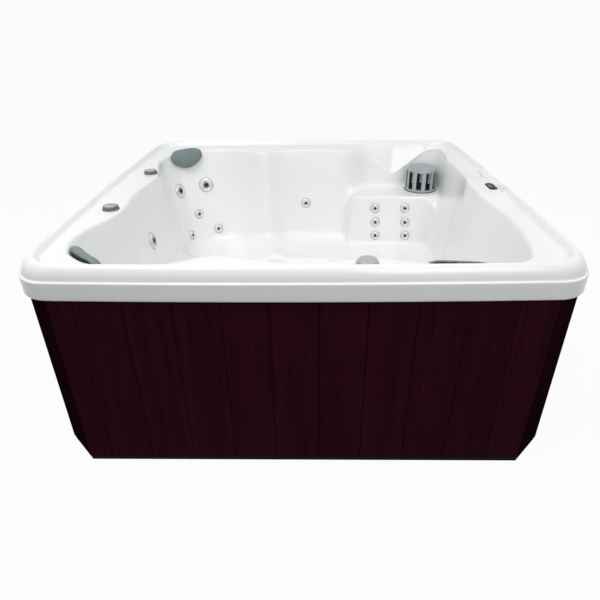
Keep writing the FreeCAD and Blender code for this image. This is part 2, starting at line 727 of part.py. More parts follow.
def make_cabinet():
    pan = octagon(pan_half, cabinet_chamfer, 0, pan_height)
    save("base_pan", pan.cut(octagon(pan_half - pan_edge, cabinet_chamfer, pan_floor, pan_height)))
    end = cabinet_half - cabinet_chamfer
    joints = [board_first + board_pitch * k for k in range(-12, 12)]
    marks = [-end] + [j for j in joints if -end + 30 < j < end - 30] + [end]
    holes = [screw_tool(x, screw_r + 0.3, 50) for x in stud_places]
    for name, turn in side_turns:
        boards = []
        for x0, x1 in zip(marks, marks[1:]):
            board = Part.makeBox(x1 - x0 - board_gap, board_thick, skirt_top - skirt_bottom,
                                 Vector(x0 + board_gap / 2, -cabinet_half, skirt_bottom))
            upright = [e for e in board.Edges if e.BoundBox.ZLength > 100]
            edges = [e for e in upright if e.BoundBox.YMax < -cabinet_half + 0.1]
            board = board.makeChamfer(board_groove, edges).cut(holes)
            if name == "right":
                face = Vector(drain_spot[0], -cabinet_half, drain_spot[1])
                board = board.cut([Part.makeCylinder(drain_r + 2, 2 * board_thick, face, Vector(0, 1, 0)),
                                   Part.makeCylinder(drain_flange_r + 2, drain_pocket, face, Vector(0, 1, 0))])
            boards.append(spun(board, turn))
        save("skirt_" + name, ring_of(boards))
    near = end + board_gap / 2
    outer = cabinet_half - board_gap / 2
    inner = near + outer - board_thick * math.sqrt(2) - near
    plan = [(near, outer), (outer, near), (inner, near), (near, inner)]
    points = [Vector(x, y, skirt_bottom) for x, y in plan]
    panel = Part.Face(Part.makePolygon(points + points[:1])).extrude(Vector(0, 0, skirt_top - skirt_bottom))
    save("corner_panels", ring_of([spun(panel, turn) for name, turn in side_turns]))
    screws = []
    for x in stud_places:
        head = turned([(0, 0), (screw_head_r, 0), (screw_head_r, 0.8), (screw_head_r * 0.6, 2.2), (0, 2.6)])
        shank = Part.makeCylinder(screw_r, screw_length, Vector(0, 0, -screw_length))
        screw = placed(head.fuse(shank), Vector(x, -cabinet_half, screw_z), Vector(0, -1, 0))
        screws += [spun(screw, turn) for name, turn in side_turns]
    save("skirt_screws", ring_of(screws))


def make_frame():
    face = cabinet_half - board_thick
    holes = [screw_tool(x, screw_r + 0.3, 50) for x in stud_places]
    sill = Part.makeBox(2 * frame_reach, timber_deep, timber, Vector(-frame_reach, -face, pan_floor)).cut(holes)
    rail = Part.makeBox(2 * frame_reach, timber, timber, Vector(-frame_reach, -face, rail_top - timber))
    studs = [Part.makeBox(timber, timber, rail_top - 2 * timber - pan_floor,
                          Vector(x - timber / 2, -face, pan_floor + timber)) for x in stud_places]
    reach = (2 * cabinet_half - cabinet_chamfer) / math.sqrt(2) - board_thick
    post = Part.makeBox(timber, post_width, rail_top - pan_height,
                        Vector(reach - timber, -post_width / 2, pan_height))
    posts = [spun(post, turn + 45) for name, turn in side_turns]
    save("frame_sills", ring_of([spun(sill, turn) for name, turn in side_turns]))
    save("frame_rails", ring_of([spun(rail, turn) for name, turn in side_turns]))
    save("frame_studs", ring_of([spun(stud, turn) for stud in studs for name, turn in side_turns] + posts))
    under = floor_z - shell_wall
    pads = [Part.makeBox(support_length, timber_deep, under - pan_floor,
                         Vector(-support_length / 2, y - timber_deep / 2, pan_floor)) for y in support_places]
    save("floor_supports", ring_of(pads))


# Equipment under the near seats
pump_axis = Vector(-60, -650, 150)
motor_r = 78.0
motor_length = 280.0
volute_r = 92.0
volute_width = 84.0
inlet_stub = 50.0
outlet_stub = 12.0
heater_r = 32.0
heater_ends = (-80.0, 330.0)
heater_y = -812.0
heater_z = 120.0
pack_corner = Vector(400, -790, pan_floor)
pack_size = (270.0, 150.0, 170.0)
ozone_size = (90.0, 50.0, 140.0)
ozone_corner = Vector(655, timber + board_thick - cabinet_half, 60)
pipe_r = 24.0
pipe_wall = 3.0
pipe_bend = 28.0
air_pipe_r = 17.0
air_pipe_z = 240.0
air_pipe_x = -640.0
ring_main_r = 560.0
ring_main_z = 190.0
ring_main_directions = (-20, 20, 50, 90, 130, 180, 220)
filter_line_z = 70.0
suction_join_x = 163.0
pressure_bend_x = -150.0
pressure_z = 284.0
return_x = 366.0


def bent_path(points, bend):
    edges = []
    start = points[0]
    for a, p, b in zip(points, points[1:], points[2:]):
        into = (p - a).normalize()
        out = (b - p).normalize()
        turn = into.getAngle(out)
        reach = bend * math.tan(turn / 2)
        first, last = p - into * reach, p + out * reach
        middle = p + (out - into).normalize() * (bend / math.cos(turn / 2) - bend)
        edges += [Part.makeLine(start, first), Part.Arc(first, middle, last).toShape()]
        start = last
    return Part.Wire(edges + [Part.makeLine(start, points[-1])])


def swept(points, radius):
    ends = Part.makeCircle(radius, points[0], points[1] - points[0])
    return bent_path(points, pipe_bend).makePipe(Part.Face(Part.Wire(ends)))


def piping(runs, radius, wall):
    outer = [swept(points, radius) for points in runs]
    bore = [swept(points, radius - wall) for points in runs]
    if len(runs) == 1:
        return outer[0].cut(bore[0])
    return outer[0].fuse(outer[1:]).cut(bore[0].fuse(bore[1:]))


def make_pipes():
    starts = []
    for deg, z in suction_spots:
        point, normal = wall_frame(deg, z)
        starts.append((point - normal * 45, point - normal * 110))
    first, second = starts
    join = Vector(suction_join_x, first[1].y - 20, first[1].z - 3)
    corner = Vector(suction_join_x, pump_axis.y, pump_axis.z)
    cross = join + (corner - join) * 0.2
    tee = join + (corner - join) * 0.62
    pump_in = pump_axis + Vector(volute_width + inlet_stub, 0, 0)
    under = Vector(filter_axis.x, filter_axis.y, canister_bottom - 40)
    runs = [[first[0], first[1], join, corner, pump_in],
            [second[0], second[1], Vector(-cross.x, cross.y, cross.z), cross],
            [under, Vector(under.x, under.y, filter_line_z), Vector(under.x, tee.y, filter_line_z),
             Vector(tee.x, tee.y, filter_line_z), tee]]
    save("suction_pipes", piping(runs, pipe_r, pipe_wall))
    out = pump_axis + Vector(volute_width / 2, 0, volute_r + outlet_stub)
    x0, x1 = heater_ends
    to_heater = [out, Vector(out.x, out.y, pressure_z), Vector(out.x, heater_y, pressure_z),
                 Vector(pressure_bend_x, heater_y, pressure_z), Vector(pressure_bend_x, heater_y, heater_z),
                 Vector(x0, heater_y, heater_z)]
    back = [Vector(x1, heater_y, heater_z), Vector(return_x, heater_y, heater_z),
            Vector(return_x, heater_y, ring_main_z), Vector(return_x, -500, ring_main_z)]
    back += [polar(deg, ring_main_r, ring_main_z) for deg in ring_main_directions]
    save("pressure_pipes", ring_of([piping([run], pipe_r, pipe_wall) for run in (to_heater, back)]))
    ends = [spot + Vector(0, 0, air_sleeve_end) for name, spot in air_spots]
    drops = [spot + Vector(0, 0, air_pipe_z) for name, spot in air_spots]
    inner = [Vector(air_pipe_x, spot.y, air_pipe_z) for name, spot in air_spots]
    save("air_pipes", piping([[ends[0], drops[0], inner[0], inner[1], drops[1], ends[1]]], air_pipe_r, 2.0))


def make_drain():
    spot = Vector(cabinet_half - drain_pocket, drain_spot[0], drain_spot[1])
    flange = tube(drain_flange_r, 9, seat_gap, 4)
    line = tube(drain_r, 9, filter_axis.x + pipe_r - spot.x, 18)
    save("drain_valve", placed(flange.fuse(line).removeSplitter(), spot, Vector(1, 0, 0)))


def make_equipment():
    along = Vector(1, 0, 0)
    motor = Part.makeCylinder(motor_r, motor_length, pump_axis - along * motor_length, along)
    for k in range(12):
        fin = Part.makeBox(motor_length - 60, 4, 10, Vector(-motor_length + 30, -2, motor_r - 2))
        fin.rotate(Vector(0, 0, 0), along, 30 * k)
        fin.translate(pump_axis)
        motor = motor.fuse(fin)
    foot = Part.makeBox(motor_length - 80, 120, pump_axis.z - motor_r * 0.7 - pan_floor,
                        Vector(pump_axis.x - motor_length + 40, pump_axis.y - 60, pan_floor))
    save("pump_motor", motor.fuse(foot).removeSplitter())
    middle = pump_axis + along * (volute_width / 2)
    wet = Part.makeCylinder(volute_r, volute_width, pump_axis, along)
    wet = wet.fuse([Part.makeCylinder(38, inlet_stub, pump_axis + along * volute_width, along),
                    Part.makeCylinder(34, volute_r + outlet_stub, middle)])
    bores = [Part.makeCylinder(pipe_r - pipe_wall, 120, middle, along),
             Part.makeCylinder(pipe_r - pipe_wall, 150, middle)]
    wet = wet.cut(bores)
    save("pump_wet_end", wet.removeSplitter())
    x0, x1 = heater_ends
    start = Vector(x0, heater_y, heater_z)
    heater = Part.makeCylinder(heater_r, x1 - x0, start, along)
    for x in (x0, x1 - 14):
        heater = heater.fuse(Part.makeCylinder(heater_r + 9, 14, Vector(x, heater_y, heater_z), along))
    box_corner = Vector((x0 + x1) / 2 - 60, heater_y - 25, heater_z + heater_r - 8)
    heater = heater.fuse(Part.makeBox(120, 50, 34, box_corner))
    legs = [Part.makeBox(20, 40, heater_z - heater_r + 4 - pan_floor, Vector(x, heater_y - 20, pan_floor))
            for x in (x0 + 40, x1 - 60)]
    bores = [Part.makeCylinder(heater_r - 2, x1 - x0 - 12, start + along * 6, along),
             Part.makeCylinder(pipe_r - pipe_wall, x1 - x0, start, along)]
    heater = heater.fuse(legs).cut(bores)
    save("heater", heater.removeSplitter())
    pack = Part.makeBox(*pack_size, pack_corner)
    pack = pack.makeFillet(8, [e for e in pack.Edges if e.BoundBox.ZLength > 100])
    save("control_box", pack.cut(Part.makeBox(*[s - 8 for s in pack_size], pack_corner + Vector(4, 4, 4))))
    ozone = Part.makeBox(*ozone_size, ozone_corner)
    save("ozone_generator", ozone.makeFillet(10, [e for e in ozone.Edges if e.BoundBox.ZLength > 100]))


make_jets()
make_deck_fittings()
make_pillows()
make_control()
make_filter()
make_footwell_fittings()
make_cabinet()
make_frame()
make_equipment()
make_pipes()
make_drain()
save("shell", finished_shell())
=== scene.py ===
import bpy
import bmesh
import json
import math
import numpy as np
from mathutils import Matrix, Vector

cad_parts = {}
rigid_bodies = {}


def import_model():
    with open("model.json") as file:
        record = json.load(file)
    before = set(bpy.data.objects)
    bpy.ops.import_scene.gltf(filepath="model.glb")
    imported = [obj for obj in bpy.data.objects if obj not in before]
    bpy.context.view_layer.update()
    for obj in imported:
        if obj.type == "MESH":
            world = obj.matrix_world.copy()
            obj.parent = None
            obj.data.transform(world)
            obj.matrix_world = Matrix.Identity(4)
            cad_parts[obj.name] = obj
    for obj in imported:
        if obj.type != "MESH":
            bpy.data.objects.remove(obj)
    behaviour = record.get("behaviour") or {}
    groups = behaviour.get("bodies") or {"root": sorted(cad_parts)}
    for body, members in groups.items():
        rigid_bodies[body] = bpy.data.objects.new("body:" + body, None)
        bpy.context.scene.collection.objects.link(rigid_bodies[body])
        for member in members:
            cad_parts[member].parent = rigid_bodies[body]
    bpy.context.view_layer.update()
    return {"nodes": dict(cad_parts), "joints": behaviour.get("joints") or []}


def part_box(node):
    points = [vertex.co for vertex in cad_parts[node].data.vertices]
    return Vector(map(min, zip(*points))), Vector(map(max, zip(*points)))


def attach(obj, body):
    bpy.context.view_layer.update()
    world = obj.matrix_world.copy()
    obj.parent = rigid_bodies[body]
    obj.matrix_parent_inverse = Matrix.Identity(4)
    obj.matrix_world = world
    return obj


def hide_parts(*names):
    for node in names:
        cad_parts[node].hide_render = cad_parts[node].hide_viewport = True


for leftover in list(bpy.data.objects):
    bpy.data.objects.remove(leftover)
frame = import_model()
cadNodes = frame["nodes"]
joints = {j["child"]: j for j in frame["joints"]}
scene = bpy.context.scene
scene.view_settings.view_transform = "Standard"
mm = 0.001
print("frame in place,", len(cadNodes), "nodes")


# camera at the photograph's place: yaw, pitch and roll in degrees, focal length in picture widths
cameraView = {"place": (0.0279, -2.338, 1.5116), "yaw": -1.24, "pitch": 29.51, "roll": -0.72,
              "focal": 494.25 / 600, "sensor": 36, "sees": (0.05, 60)}


def placeCamera(view):
    yaw, pitch, roll = (math.radians(view[k]) for k in ("yaw", "pitch", "roll"))
    ahead = Vector((math.sin(yaw) * math.cos(pitch), math.cos(yaw) * math.cos(pitch), -math.sin(pitch)))
    right = Vector((math.cos(yaw), -math.sin(yaw), 0))
    up = right.cross(ahead)
    tiltedRight = right * math.cos(roll) + up * math.sin(roll)
    tiltedUp = up * math.cos(roll) - right * math.sin(roll)
    turn = Matrix((tiltedRight, tiltedUp, -ahead)).transposed().to_4x4()
    data = bpy.data.cameras.new("photoCamera")
    data.sensor_width = view["sensor"]
    data.lens = view["sensor"] * view["focal"]
    data.clip_start, data.clip_end = view["sees"]
    camera = bpy.data.objects.new("photoCamera", data)
    camera.matrix_world = Matrix.Translation(view["place"]) @ turn
    scene.collection.objects.link(camera)
    scene.camera = camera


placeCamera(cameraView)
print("camera placed")


class Wire:  # one output socket; arithmetic on it adds Math nodes
    def __init__(self, wiring, socket):
        self.wiring, self.socket = wiring, socket

    def math(self, operation, a, b=None):
        return self.wiring.add("ShaderNodeMath", {"operation": operation}, {0: a, 1: b})

    def __add__(self, other):
        return self.math("ADD", self, other)

    def __radd__(self, other):
        return self.math("ADD", other, self)

    def __sub__(self, other):
        return self.math("SUBTRACT", self, other)

    def __rsub__(self, other):
        return self.math("SUBTRACT", other, self)

    def __mul__(self, other):
        return self.math("MULTIPLY", self, other)

    def __rmul__(self, other):
        return self.math("MULTIPLY", other, self)

    def __truediv__(self, other):
        return self.math("DIVIDE", self, other)

    def __rtruediv__(self, other):
        return self.math("DIVIDE", other, self)

    def most(self, other):
        return self.math("MAXIMUM", self, other)

    def root(self):
        return self.math("SQRT", self)

    def size(self):  # without its sign
        return self.math("ABSOLUTE", self)

    def whole(self):
        return self.math("FLOOR", self)

    def above(self, level, soft):  # 0 below the level, 1 above it, with a soft edge
        return self.wiring.add("ShaderNodeMapRange", {"interpolation_type": "SMOOTHSTEP"},
                               {"Value": self, "From Min": level - soft, "From Max": level + soft})


class Wiring:  # one node tree, built node by node
    def __init__(self, tree):
        self.tree = tree

    def add(self, kind, settings=None, values=None, out=0):
        node = self.tree.nodes.new(kind)
        for key, value in (settings or {}).items():
            setattr(node, key, value)
        for key, value in (values or {}).items():
            if isinstance(value, Wire):
                self.join(value, node, key)
            elif value is not None:
                node.inputs[key].default_value = value
        return Wire(self, node.outputs[out])

    def join(self, wire, node, socket):
        self.tree.links.new(wire.socket, node.inputs[socket])

    def mix(self, share, a, b):  # a colour Mix node has its share at 0, its colours at 6 and 7, the blend at 2
        a, b = (c if isinstance(c, Wire) else (*c, 1) for c in (a, b))
        return self.add("ShaderNodeMix", {"data_type": "RGBA"}, {0: share, 6: a, 7: b}, 2)

    def between(self, share, low, high):
        return self.add("ShaderNodeMapRange", None, {"Value": share, "To Min": low, "To Max": high})

    def seen(self):  # 1 for what the camera sees, by itself, in a reflection or through something clear
        rays = ("Is Camera Ray", "Is Glossy Ray", "Is Transmission Ray")
        direct, mirrored, through = (self.add("ShaderNodeLightPath", out=ray) for ray in rays)
        return direct.most(mirrored).most(through)


class Finish(Wiring):  # one material; what it fixes for the whole surface is set on the sockets
    def __init__(self, name, **fixed):
        self.material = bpy.data.materials.new(name)
        self.material.use_nodes = True
        super().__init__(self.material.node_tree)
        self.shader = self.tree.nodes["Principled BSDF"]
        for socket, value in fixed.items():
            self.shader.inputs[socket.replace("_", " ")].default_value = value
        self.spot = self.add("ShaderNodeTexCoord", out="Object")

    def set(self, socket, wire):
        self.join(wire, self.shader, socket)

    def noise(self, scale, spot=None, detail=3, rough=0.5):
        return self.add("ShaderNodeTexNoise", None,
                        {"Vector": spot or self.spot, "Scale": scale, "Detail": detail, "Roughness": rough})

    def bump(self, height, depth, strength):
        values = {"Height": height, "Distance": depth, "Strength": strength}
        self.set("Normal", self.add("ShaderNodeBump", None, values))

    def part(self, axis):
        return self.add("ShaderNodeSeparateXYZ", None, {0: self.spot}, axis)

    def vector(self, operation, a, b=None, out=0):
        return self.add("ShaderNodeVectorMath", {"operation": operation}, {0: a, 1: b}, out)

    def planRadius(self, axis):  # level distance from an upright axis
        x, y = (self.part(k) - c for k, c in zip("XY", axis))
        return (x * x + y * y).root()


def duller(colour, share):
    return tuple(c * (1 - share) for c in colour)


def acrylicFinish():
    # glossy white sheet: faint cloudy tint and a very slight ripple from the moulding
    look = {"white": (0.94, 0.945, 0.938), "shade": (0.915, 0.92, 0.914), "clouds": 3.2,
            "rough": 0.16, "roughSpread": 0.1, "ripple": 26, "rippleDeep": 0.0006, "rippleStrength": 0.12}
    f = Finish("acrylicWhite", Coat_Weight=0.35, Coat_Roughness=0.06, Specular_IOR_Level=0.45)
    clouds = f.noise(look["clouds"], detail=4)
    f.set("Base Color", f.mix(clouds, look["white"], look["shade"]))
    f.set("Roughness", look["rough"] + clouds * look["roughSpread"])
    f.bump(f.noise(look["ripple"], detail=1), look["rippleDeep"], look["rippleStrength"])
    return f.material


def woodFinish(name, axis):
    # dark mahogany boards: every board has its own tone and its own grain, run up and down;
    # what starts "from" a value has its level and the softness of its edge
    look = {"pitch": 0.162, "first": 0.061, "deep": (0.014, 0.0024, 0.0052), "red": (0.046, 0.0066, 0.0125),
            "streak": (0.09, 0.014, 0.021), "shift": (7, 3, 5), "drawnOut": 0.045,
            "grain": 90, "broad": 16, "streaks": 210, "redFrom": (0.55, 0.28), "streakFrom": (0.66, 0.09),
            "toneShare": 0.35, "streakShare": 0.5, "broadShare": 0.5,
            "rough": 0.55, "roughSpread": 0.2, "grainDeep": 0.0012, "grainStrength": 0.35}
    f = Finish(name, Specular_IOR_Level=0.02)
    number = ((f.part(axis) - look["first"]) / look["pitch"]).whole()
    tone = f.add("ShaderNodeTexWhiteNoise", {"noise_dimensions": "1D"}, {"W": number}, "Value")
    x, y, z = (f.part(k) for k in "XYZ")
    moved = [along + tone * far for along, far in zip((x, y, z * look["drawnOut"]), look["shift"])]
    shifted = f.add("ShaderNodeCombineXYZ", None, dict(enumerate(moved)))
    grain = f.noise(look["grain"], shifted, 5, 0.6)
    broad = f.noise(look["broad"], shifted)
    base = f.mix((grain * 0.6 + broad * look["broadShare"]).above(*look["redFrom"]), look["deep"], look["red"])
    board = f.mix(tone * look["toneShare"], base, look["deep"])
    streaks = f.noise(look["streaks"], shifted, 2, 0.6).above(*look["streakFrom"]) * (0.35 + tone * 0.5)
    f.set("Base Color", f.mix(streaks * look["streakShare"], board, look["streak"]))
    f.set("Roughness", look["rough"] + grain * look["roughSpread"])
    f.bump(grain + broad * look["broadShare"], look["grainDeep"], look["grainStrength"])
    return f.material


def plasticFinish(name, colour, rough=0.4, grain=900, depth=0.0002, dull=0.12, **more):
    # moulded plastic: fine texture in the surface and slightly uneven gloss
    look = {"wear": 14, "wearShare": 0.7, "roughSpread": 0.12, "grainStrength": 0.3}
    f = Finish(name, **more)
    worn = f.noise(look["wear"], detail=4)
    f.set("Base Color", f.mix(worn * look["wearShare"], colour, duller(colour, dull)))
    f.set("Roughness", rough - look["roughSpread"] / 2 + worn * look["roughSpread"])
    f.bump(f.noise(grain, detail=2), depth, look["grainStrength"])
    return f.material


def steelFinish():
    look = {"steel": (0.62, 0.62, 0.6), "dull": 0.14, "brush": 60, "rough": 0.28, "roughSpread": 0.12}
    f = Finish("heaterSteel", Metallic=1.0)
    brushed = f.noise(look["brush"])
    f.set("Base Color", f.mix(brushed, look["steel"], duller(look["steel"], look["dull"])))
    f.set("Roughness", look["rough"] + brushed * look["roughSpread"])
    return f.material


def timberFinish():
    # pale sawn softwood, its rings drawn out upright
    look = {"pale": (0.52, 0.36, 0.19), "ring": (0.36, 0.22, 0.10), "rings": 22, "stretch": (3, 3, 0.4),
            "rough": 0.65, "roughSpread": 0.2, "ringDeep": 0.001, "ringStrength": 0.4}
    f = Finish("sawnTimber", Specular_IOR_Level=0.25)
    drawn = f.add("ShaderNodeMapping", None, {"Vector": f.spot, "Scale": look["stretch"]})
    rings = f.noise(look["rings"], drawn, 4)
    f.set("Base Color", f.mix(rings, look["pale"], look["ring"]))
    f.set("Roughness", look["rough"] + rings * look["roughSpread"])
    f.bump(rings, look["ringDeep"], look["ringStrength"])
    return f.material


# jet faces: radius in metres, and the shares of it that the grey cup and the throat, painted near black as
# shade, take;
# a jet is large when its box's diagonal is longer than the last value
jetFaces = {"largeJet": (0.042, 0.55, 0.33), "smallJet": (0.027, 0.42, 0.28), "largeFrom": 0.085}


def jetSize(name):
    lowest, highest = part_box(name)
    return "largeJet" if (highest - lowest).length > jetFaces["largeFrom"] else "smallJet"


def jetFinish(name, joint, face, cupShare, throatShare):
    # escutcheon ring, pale insert, grey cup and a throat painted near black as painted shade, told apart by the
    # distance from the jet's axis;
    # inside the ring, what lies deeper than the holes' level gets the same painted shade
    look = {"ring": (0.74, 0.75, 0.75), "insert": (0.80, 0.80, 0.79), "cup": (0.42, 0.41, 0.39),
            "throatShade": (0.012, 0.012, 0.013), "ringFrom": (0.76, 0.02), "holesTo": (0.72, 0.01),
            "holesLevel": (0.0042, 0.0006), "cupSoft": 0.08, "throatSoft": 0.02,
            "rough": 0.3, "ringPolish": 0.12, "ringMetal": 0.4, "wear": 40, "wearShare": 0.08}
    f = Finish(name, Specular_IOR_Level=0.6)
    away = f.vector("SUBTRACT", f.spot, joint["pos_m"])
    radius = f.vector("LENGTH", f.vector("CROSS_PRODUCT", away, joint["axis"]), out="Value") / face
    level = f.vector("DOT_PRODUCT", away, joint["axis"], "Value")
    ring = radius.above(*look["ringFrom"])
    cup = 1 - radius.above(cupShare, look["cupSoft"])
    # painted shade: the nozzle's bore and the inside of its holes are coloured near black, where they lie in
    # shade
    throatShade = 1 - radius.above(throatShare, look["throatSoft"])
    holeShade = (1 - level.above(*look["holesLevel"])) * (1 - radius.above(*look["holesTo"]))
    colour = f.mix(cup, f.mix(ring, look["insert"], look["ring"]), look["cup"])
    f.set("Base Color", f.mix(throatShade.most(holeShade), colour, look["throatShade"]))
    f.set("Metallic", ring * look["ringMetal"])
    f.set("Roughness", look["rough"] - ring * look["ringPolish"] + f.noise(look["wear"]) * look["wearShare"])
    return f.material


def knobFinish(name, joint):
    # grey knob with a dark outer edge and a dark grip bar across its top, lengths in metres
    look = {"grey": (0.50, 0.50, 0.50), "edge": (0.16, 0.165, 0.17), "bar": (0.21, 0.215, 0.22),
            "radius": 0.032, "edgeFrom": (0.86, 0.04), "barAt": 0.007, "barHalf": (0.0065, 0.0012),
            "rough": 0.3, "roughSpread": 0.12, "wear": 40, "wearShare": 0.25}
    f = Finish(name, Specular_IOR_Level=0.45)
    edge = (f.planRadius(joint["pos_m"]) / look["radius"]).above(*look["edgeFrom"])
    off = f.part("Y") - joint["pos_m"][1] - look["barAt"]
    bar = 1 - off.size().above(*look["barHalf"])
    worn = f.noise(look["wear"])
    colour = f.mix(edge.most(bar), look["grey"], f.mix(edge, look["bar"], look["edge"]))
    f.set("Base Color", f.mix(worn * look["wearShare"], colour, look["bar"]))
    f.set("Roughness", look["rough"] + worn * look["roughSpread"])
    return f.material


filterAxis = (732, 760)  # plan place of the filter, in mm


def basketFinish():
    # grey-blue plastic, dark on the inside where little light comes in through the slots; lengths in metres
    look = {"outside": (0.40, 0.435, 0.45), "inside": (0.02, 0.022, 0.023), "wall": (0.0885, 0.0012),
            "cap": (0.6965, 0.001), "wear": 14, "wearShare": 0.7, "dull": 0.12,
            "rough": 0.38, "roughSpread": 0.12}
    f = Finish("basketGrey", Specular_IOR_Level=0.4)
    within = 1 - f.planRadius([v * mm for v in filterAxis]).above(*look["wall"])
    inside = within * (1 - f.part("Z").above(*look["cap"]))
    worn = f.noise(look["wear"], detail=4)
    skin = f.mix(worn * look["wearShare"], look["outside"], duller(look["outside"], look["dull"]))
    f.set("Base Color", f.mix(inside, skin, look["inside"]))
    f.set("Roughness", look["rough"] + worn * look["roughSpread"])
    return f.material


def displayFinish():
    # dark window with a faint green-grey back
    look = {"dark": (0.012, 0.016, 0.015), "green": (0.02, 0.027, 0.025), "clouds": 30,
            "rough": 0.1, "roughSpread": 0.06}
    f = Finish("displayGlass", Coat_Weight=0.25, Coat_Roughness=0.02, Specular_IOR_Level=0.2)
    back = f.noise(look["clouds"], detail=2)
    f.set("Base Color", f.mix(back, look["dark"], look["green"]))
    f.set("Roughness", look["rough"] + back * look["roughSpread"])
    return f.material


finishes = {
    "acrylic": acrylicFinish(),
    "boardsX": woodFinish("mahoganyFrontBack", "X"),
    "boardsY": woodFinish("mahoganySides", "Y"),
    "cornerDark": plasticFinish("cornerDark", (0.018, 0.0042, 0.007), 0.6, 500, 0.0004, Specular_IOR_Level=0.0),
    "panBlack": plasticFinish("panBlack", (0.008, 0.007, 0.0075), 0.6, Specular_IOR_Level=0.05),
    "controlBlack": plasticFinish("controlBlack", (0.008, 0.008, 0.009), 0.35, Specular_IOR_Level=0.15),
    "button": plasticFinish("buttonGrey", (0.02, 0.0205, 0.022), Specular_IOR_Level=0.2),
    "display": displayFinish(),
    "diverter": plasticFinish("diverterGrey", (0.43, 0.435, 0.435), 0.3),
    "bezel": plasticFinish("bezelGrey", (0.5, 0.51, 0.52), 0.3),
    "airBezel": plasticFinish("airBezelGrey", (0.24, 0.25, 0.26), 0.35),
    "jetFlange": plasticFinish("jetFlangeGrey", (0.66, 0.67, 0.67), 0.3),
    "basket": basketFinish(),
    "canister": plasticFinish("canisterGrey", (0.06, 0.063, 0.066), 0.45),
    "media": plasticFinish("filterCloth", (0.75, 0.77, 0.78), 0.8, 300, 0.0008),
    "fitting": plasticFinish("fittingGrey", (0.3, 0.31, 0.32)),
    "fittingBlack": plasticFinish("fittingBlack", (0.015, 0.015, 0.016), 0.5, Specular_IOR_Level=0.2),
    "lens": plasticFinish("lensClear", (0.62, 0.66, 0.68), 0.12, 400, 0.0003, 0.1, Coat_Weight=1.0),
    "pipe": plasticFinish("pipeWhite", (0.7, 0.7, 0.69)),
    "motor": plasticFinish("motorPaint", (0.05, 0.055, 0.06), 0.45),
    "boxPaint": plasticFinish("boxPaint", (0.35, 0.35, 0.36), 0.5),
    "steel": steelFinish(),
    "screw": plasticFinish("screwPaint", (0.012, 0.005, 0.006), 0.6, Specular_IOR_Level=0.05),
    "timber": timberFinish(),
}
nodeFinishes = {
    "skirt_front": "boardsX", "skirt_back": "boardsX", "skirt_left": "boardsY", "skirt_right": "boardsY",
    "corner_panels": "cornerDark", "base_pan": "panBlack", "control_housing": "controlBlack",
    "control_display": "display", "air_control_bezels": "airBezel", "diverter_body": "bezel",
    "diverter_knob": "diverter", "filter_basket": "basket", "filter_canister": "canister",
    "filter_cartridge": "media", "suction_covers": "fitting", "light_lens": "lens", "jet_bodies": "jetFlange",
    "drain_valve": "fittingBlack", "skirt_screws": "screw", "frame_sills": "timber", "frame_studs": "timber",
    "frame_rails": "timber", "floor_supports": "timber", "pump_motor": "motor", "pump_wet_end": "fittingBlack",
    "heater": "steel", "control_box": "boxPaint", "ozone_generator": "boxPaint", "suction_pipes": "pipe",
    "pressure_pipes": "pipe", "air_pipes": "pipe",
}


def giveFinish(piece, material):
    piece.data.materials.clear()
    piece.data.materials.append(material)


for name, node in cadNodes.items():
    if name.startswith("jet_") and name != "jet_bodies":
        giveFinish(node, jetFinish(name + "Finish", joints[name], *jetFaces[jetSize(name)]))
    elif name.startswith("air_knob"):
        giveFinish(node, knobFinish(name + "Finish", joints[name]))
    elif name.startswith("control_button"):
        giveFinish(node, finishes["button"])
    elif name in nodeFinishes:
        giveFinish(node, finishes[nodeFinishes[name]])
print("finishes on the CAD nodes")


def newPiece(name, points, faces, material):
    mesh = bpy.data.meshes.new(name)
    mesh.from_pydata(points, [], faces)
    mesh.validate()
    piece = bpy.data.objects.new(name, mesh)
    scene.collection.objects.link(piece)
    mesh.materials.append(material)
    return piece


def faceOutward(piece):
    work = bmesh.new()
    work.from_mesh(piece.data)
    bmesh.ops.recalc_face_normals(work, faces=work.faces)
    work.to_mesh(piece.data)
    work.free()


def applyModifiers(piece):
    bpy.context.view_layer.update()
    made = bpy.data.meshes.new_from_object(piece.evaluated_get(bpy.context.evaluated_depsgraph_get()))
    piece.modifiers.clear()
    piece.data = made


def smoothFaces(piece, angle):
    mesh = piece.data
    mesh.polygons.foreach_set("use_smooth", np.ones(len(mesh.polygons), bool))
    mesh.set_sharp_from_angle(angle=math.radians(angle))
    mesh.update()


def ringFaces(count, around):
    # quads between one ring of points and the next, each ring closed on itself
    k, j = np.meshgrid(np.arange(count - 1) * around, np.arange(around), indexing="ij")
    nextJ = (j + 1) % around
    return np.stack([k + j, k + nextJ, k + around + nextJ, k + around + j], 2).reshape(-1, 4).tolist()


def tubeFaces(count, around):
    # the same, with a cap on the first and the last ring
    first, last = list(range(around)), list(range((count - 1) * around, count * around))
    return ringFaces(count, around) + [first[::-1], last]


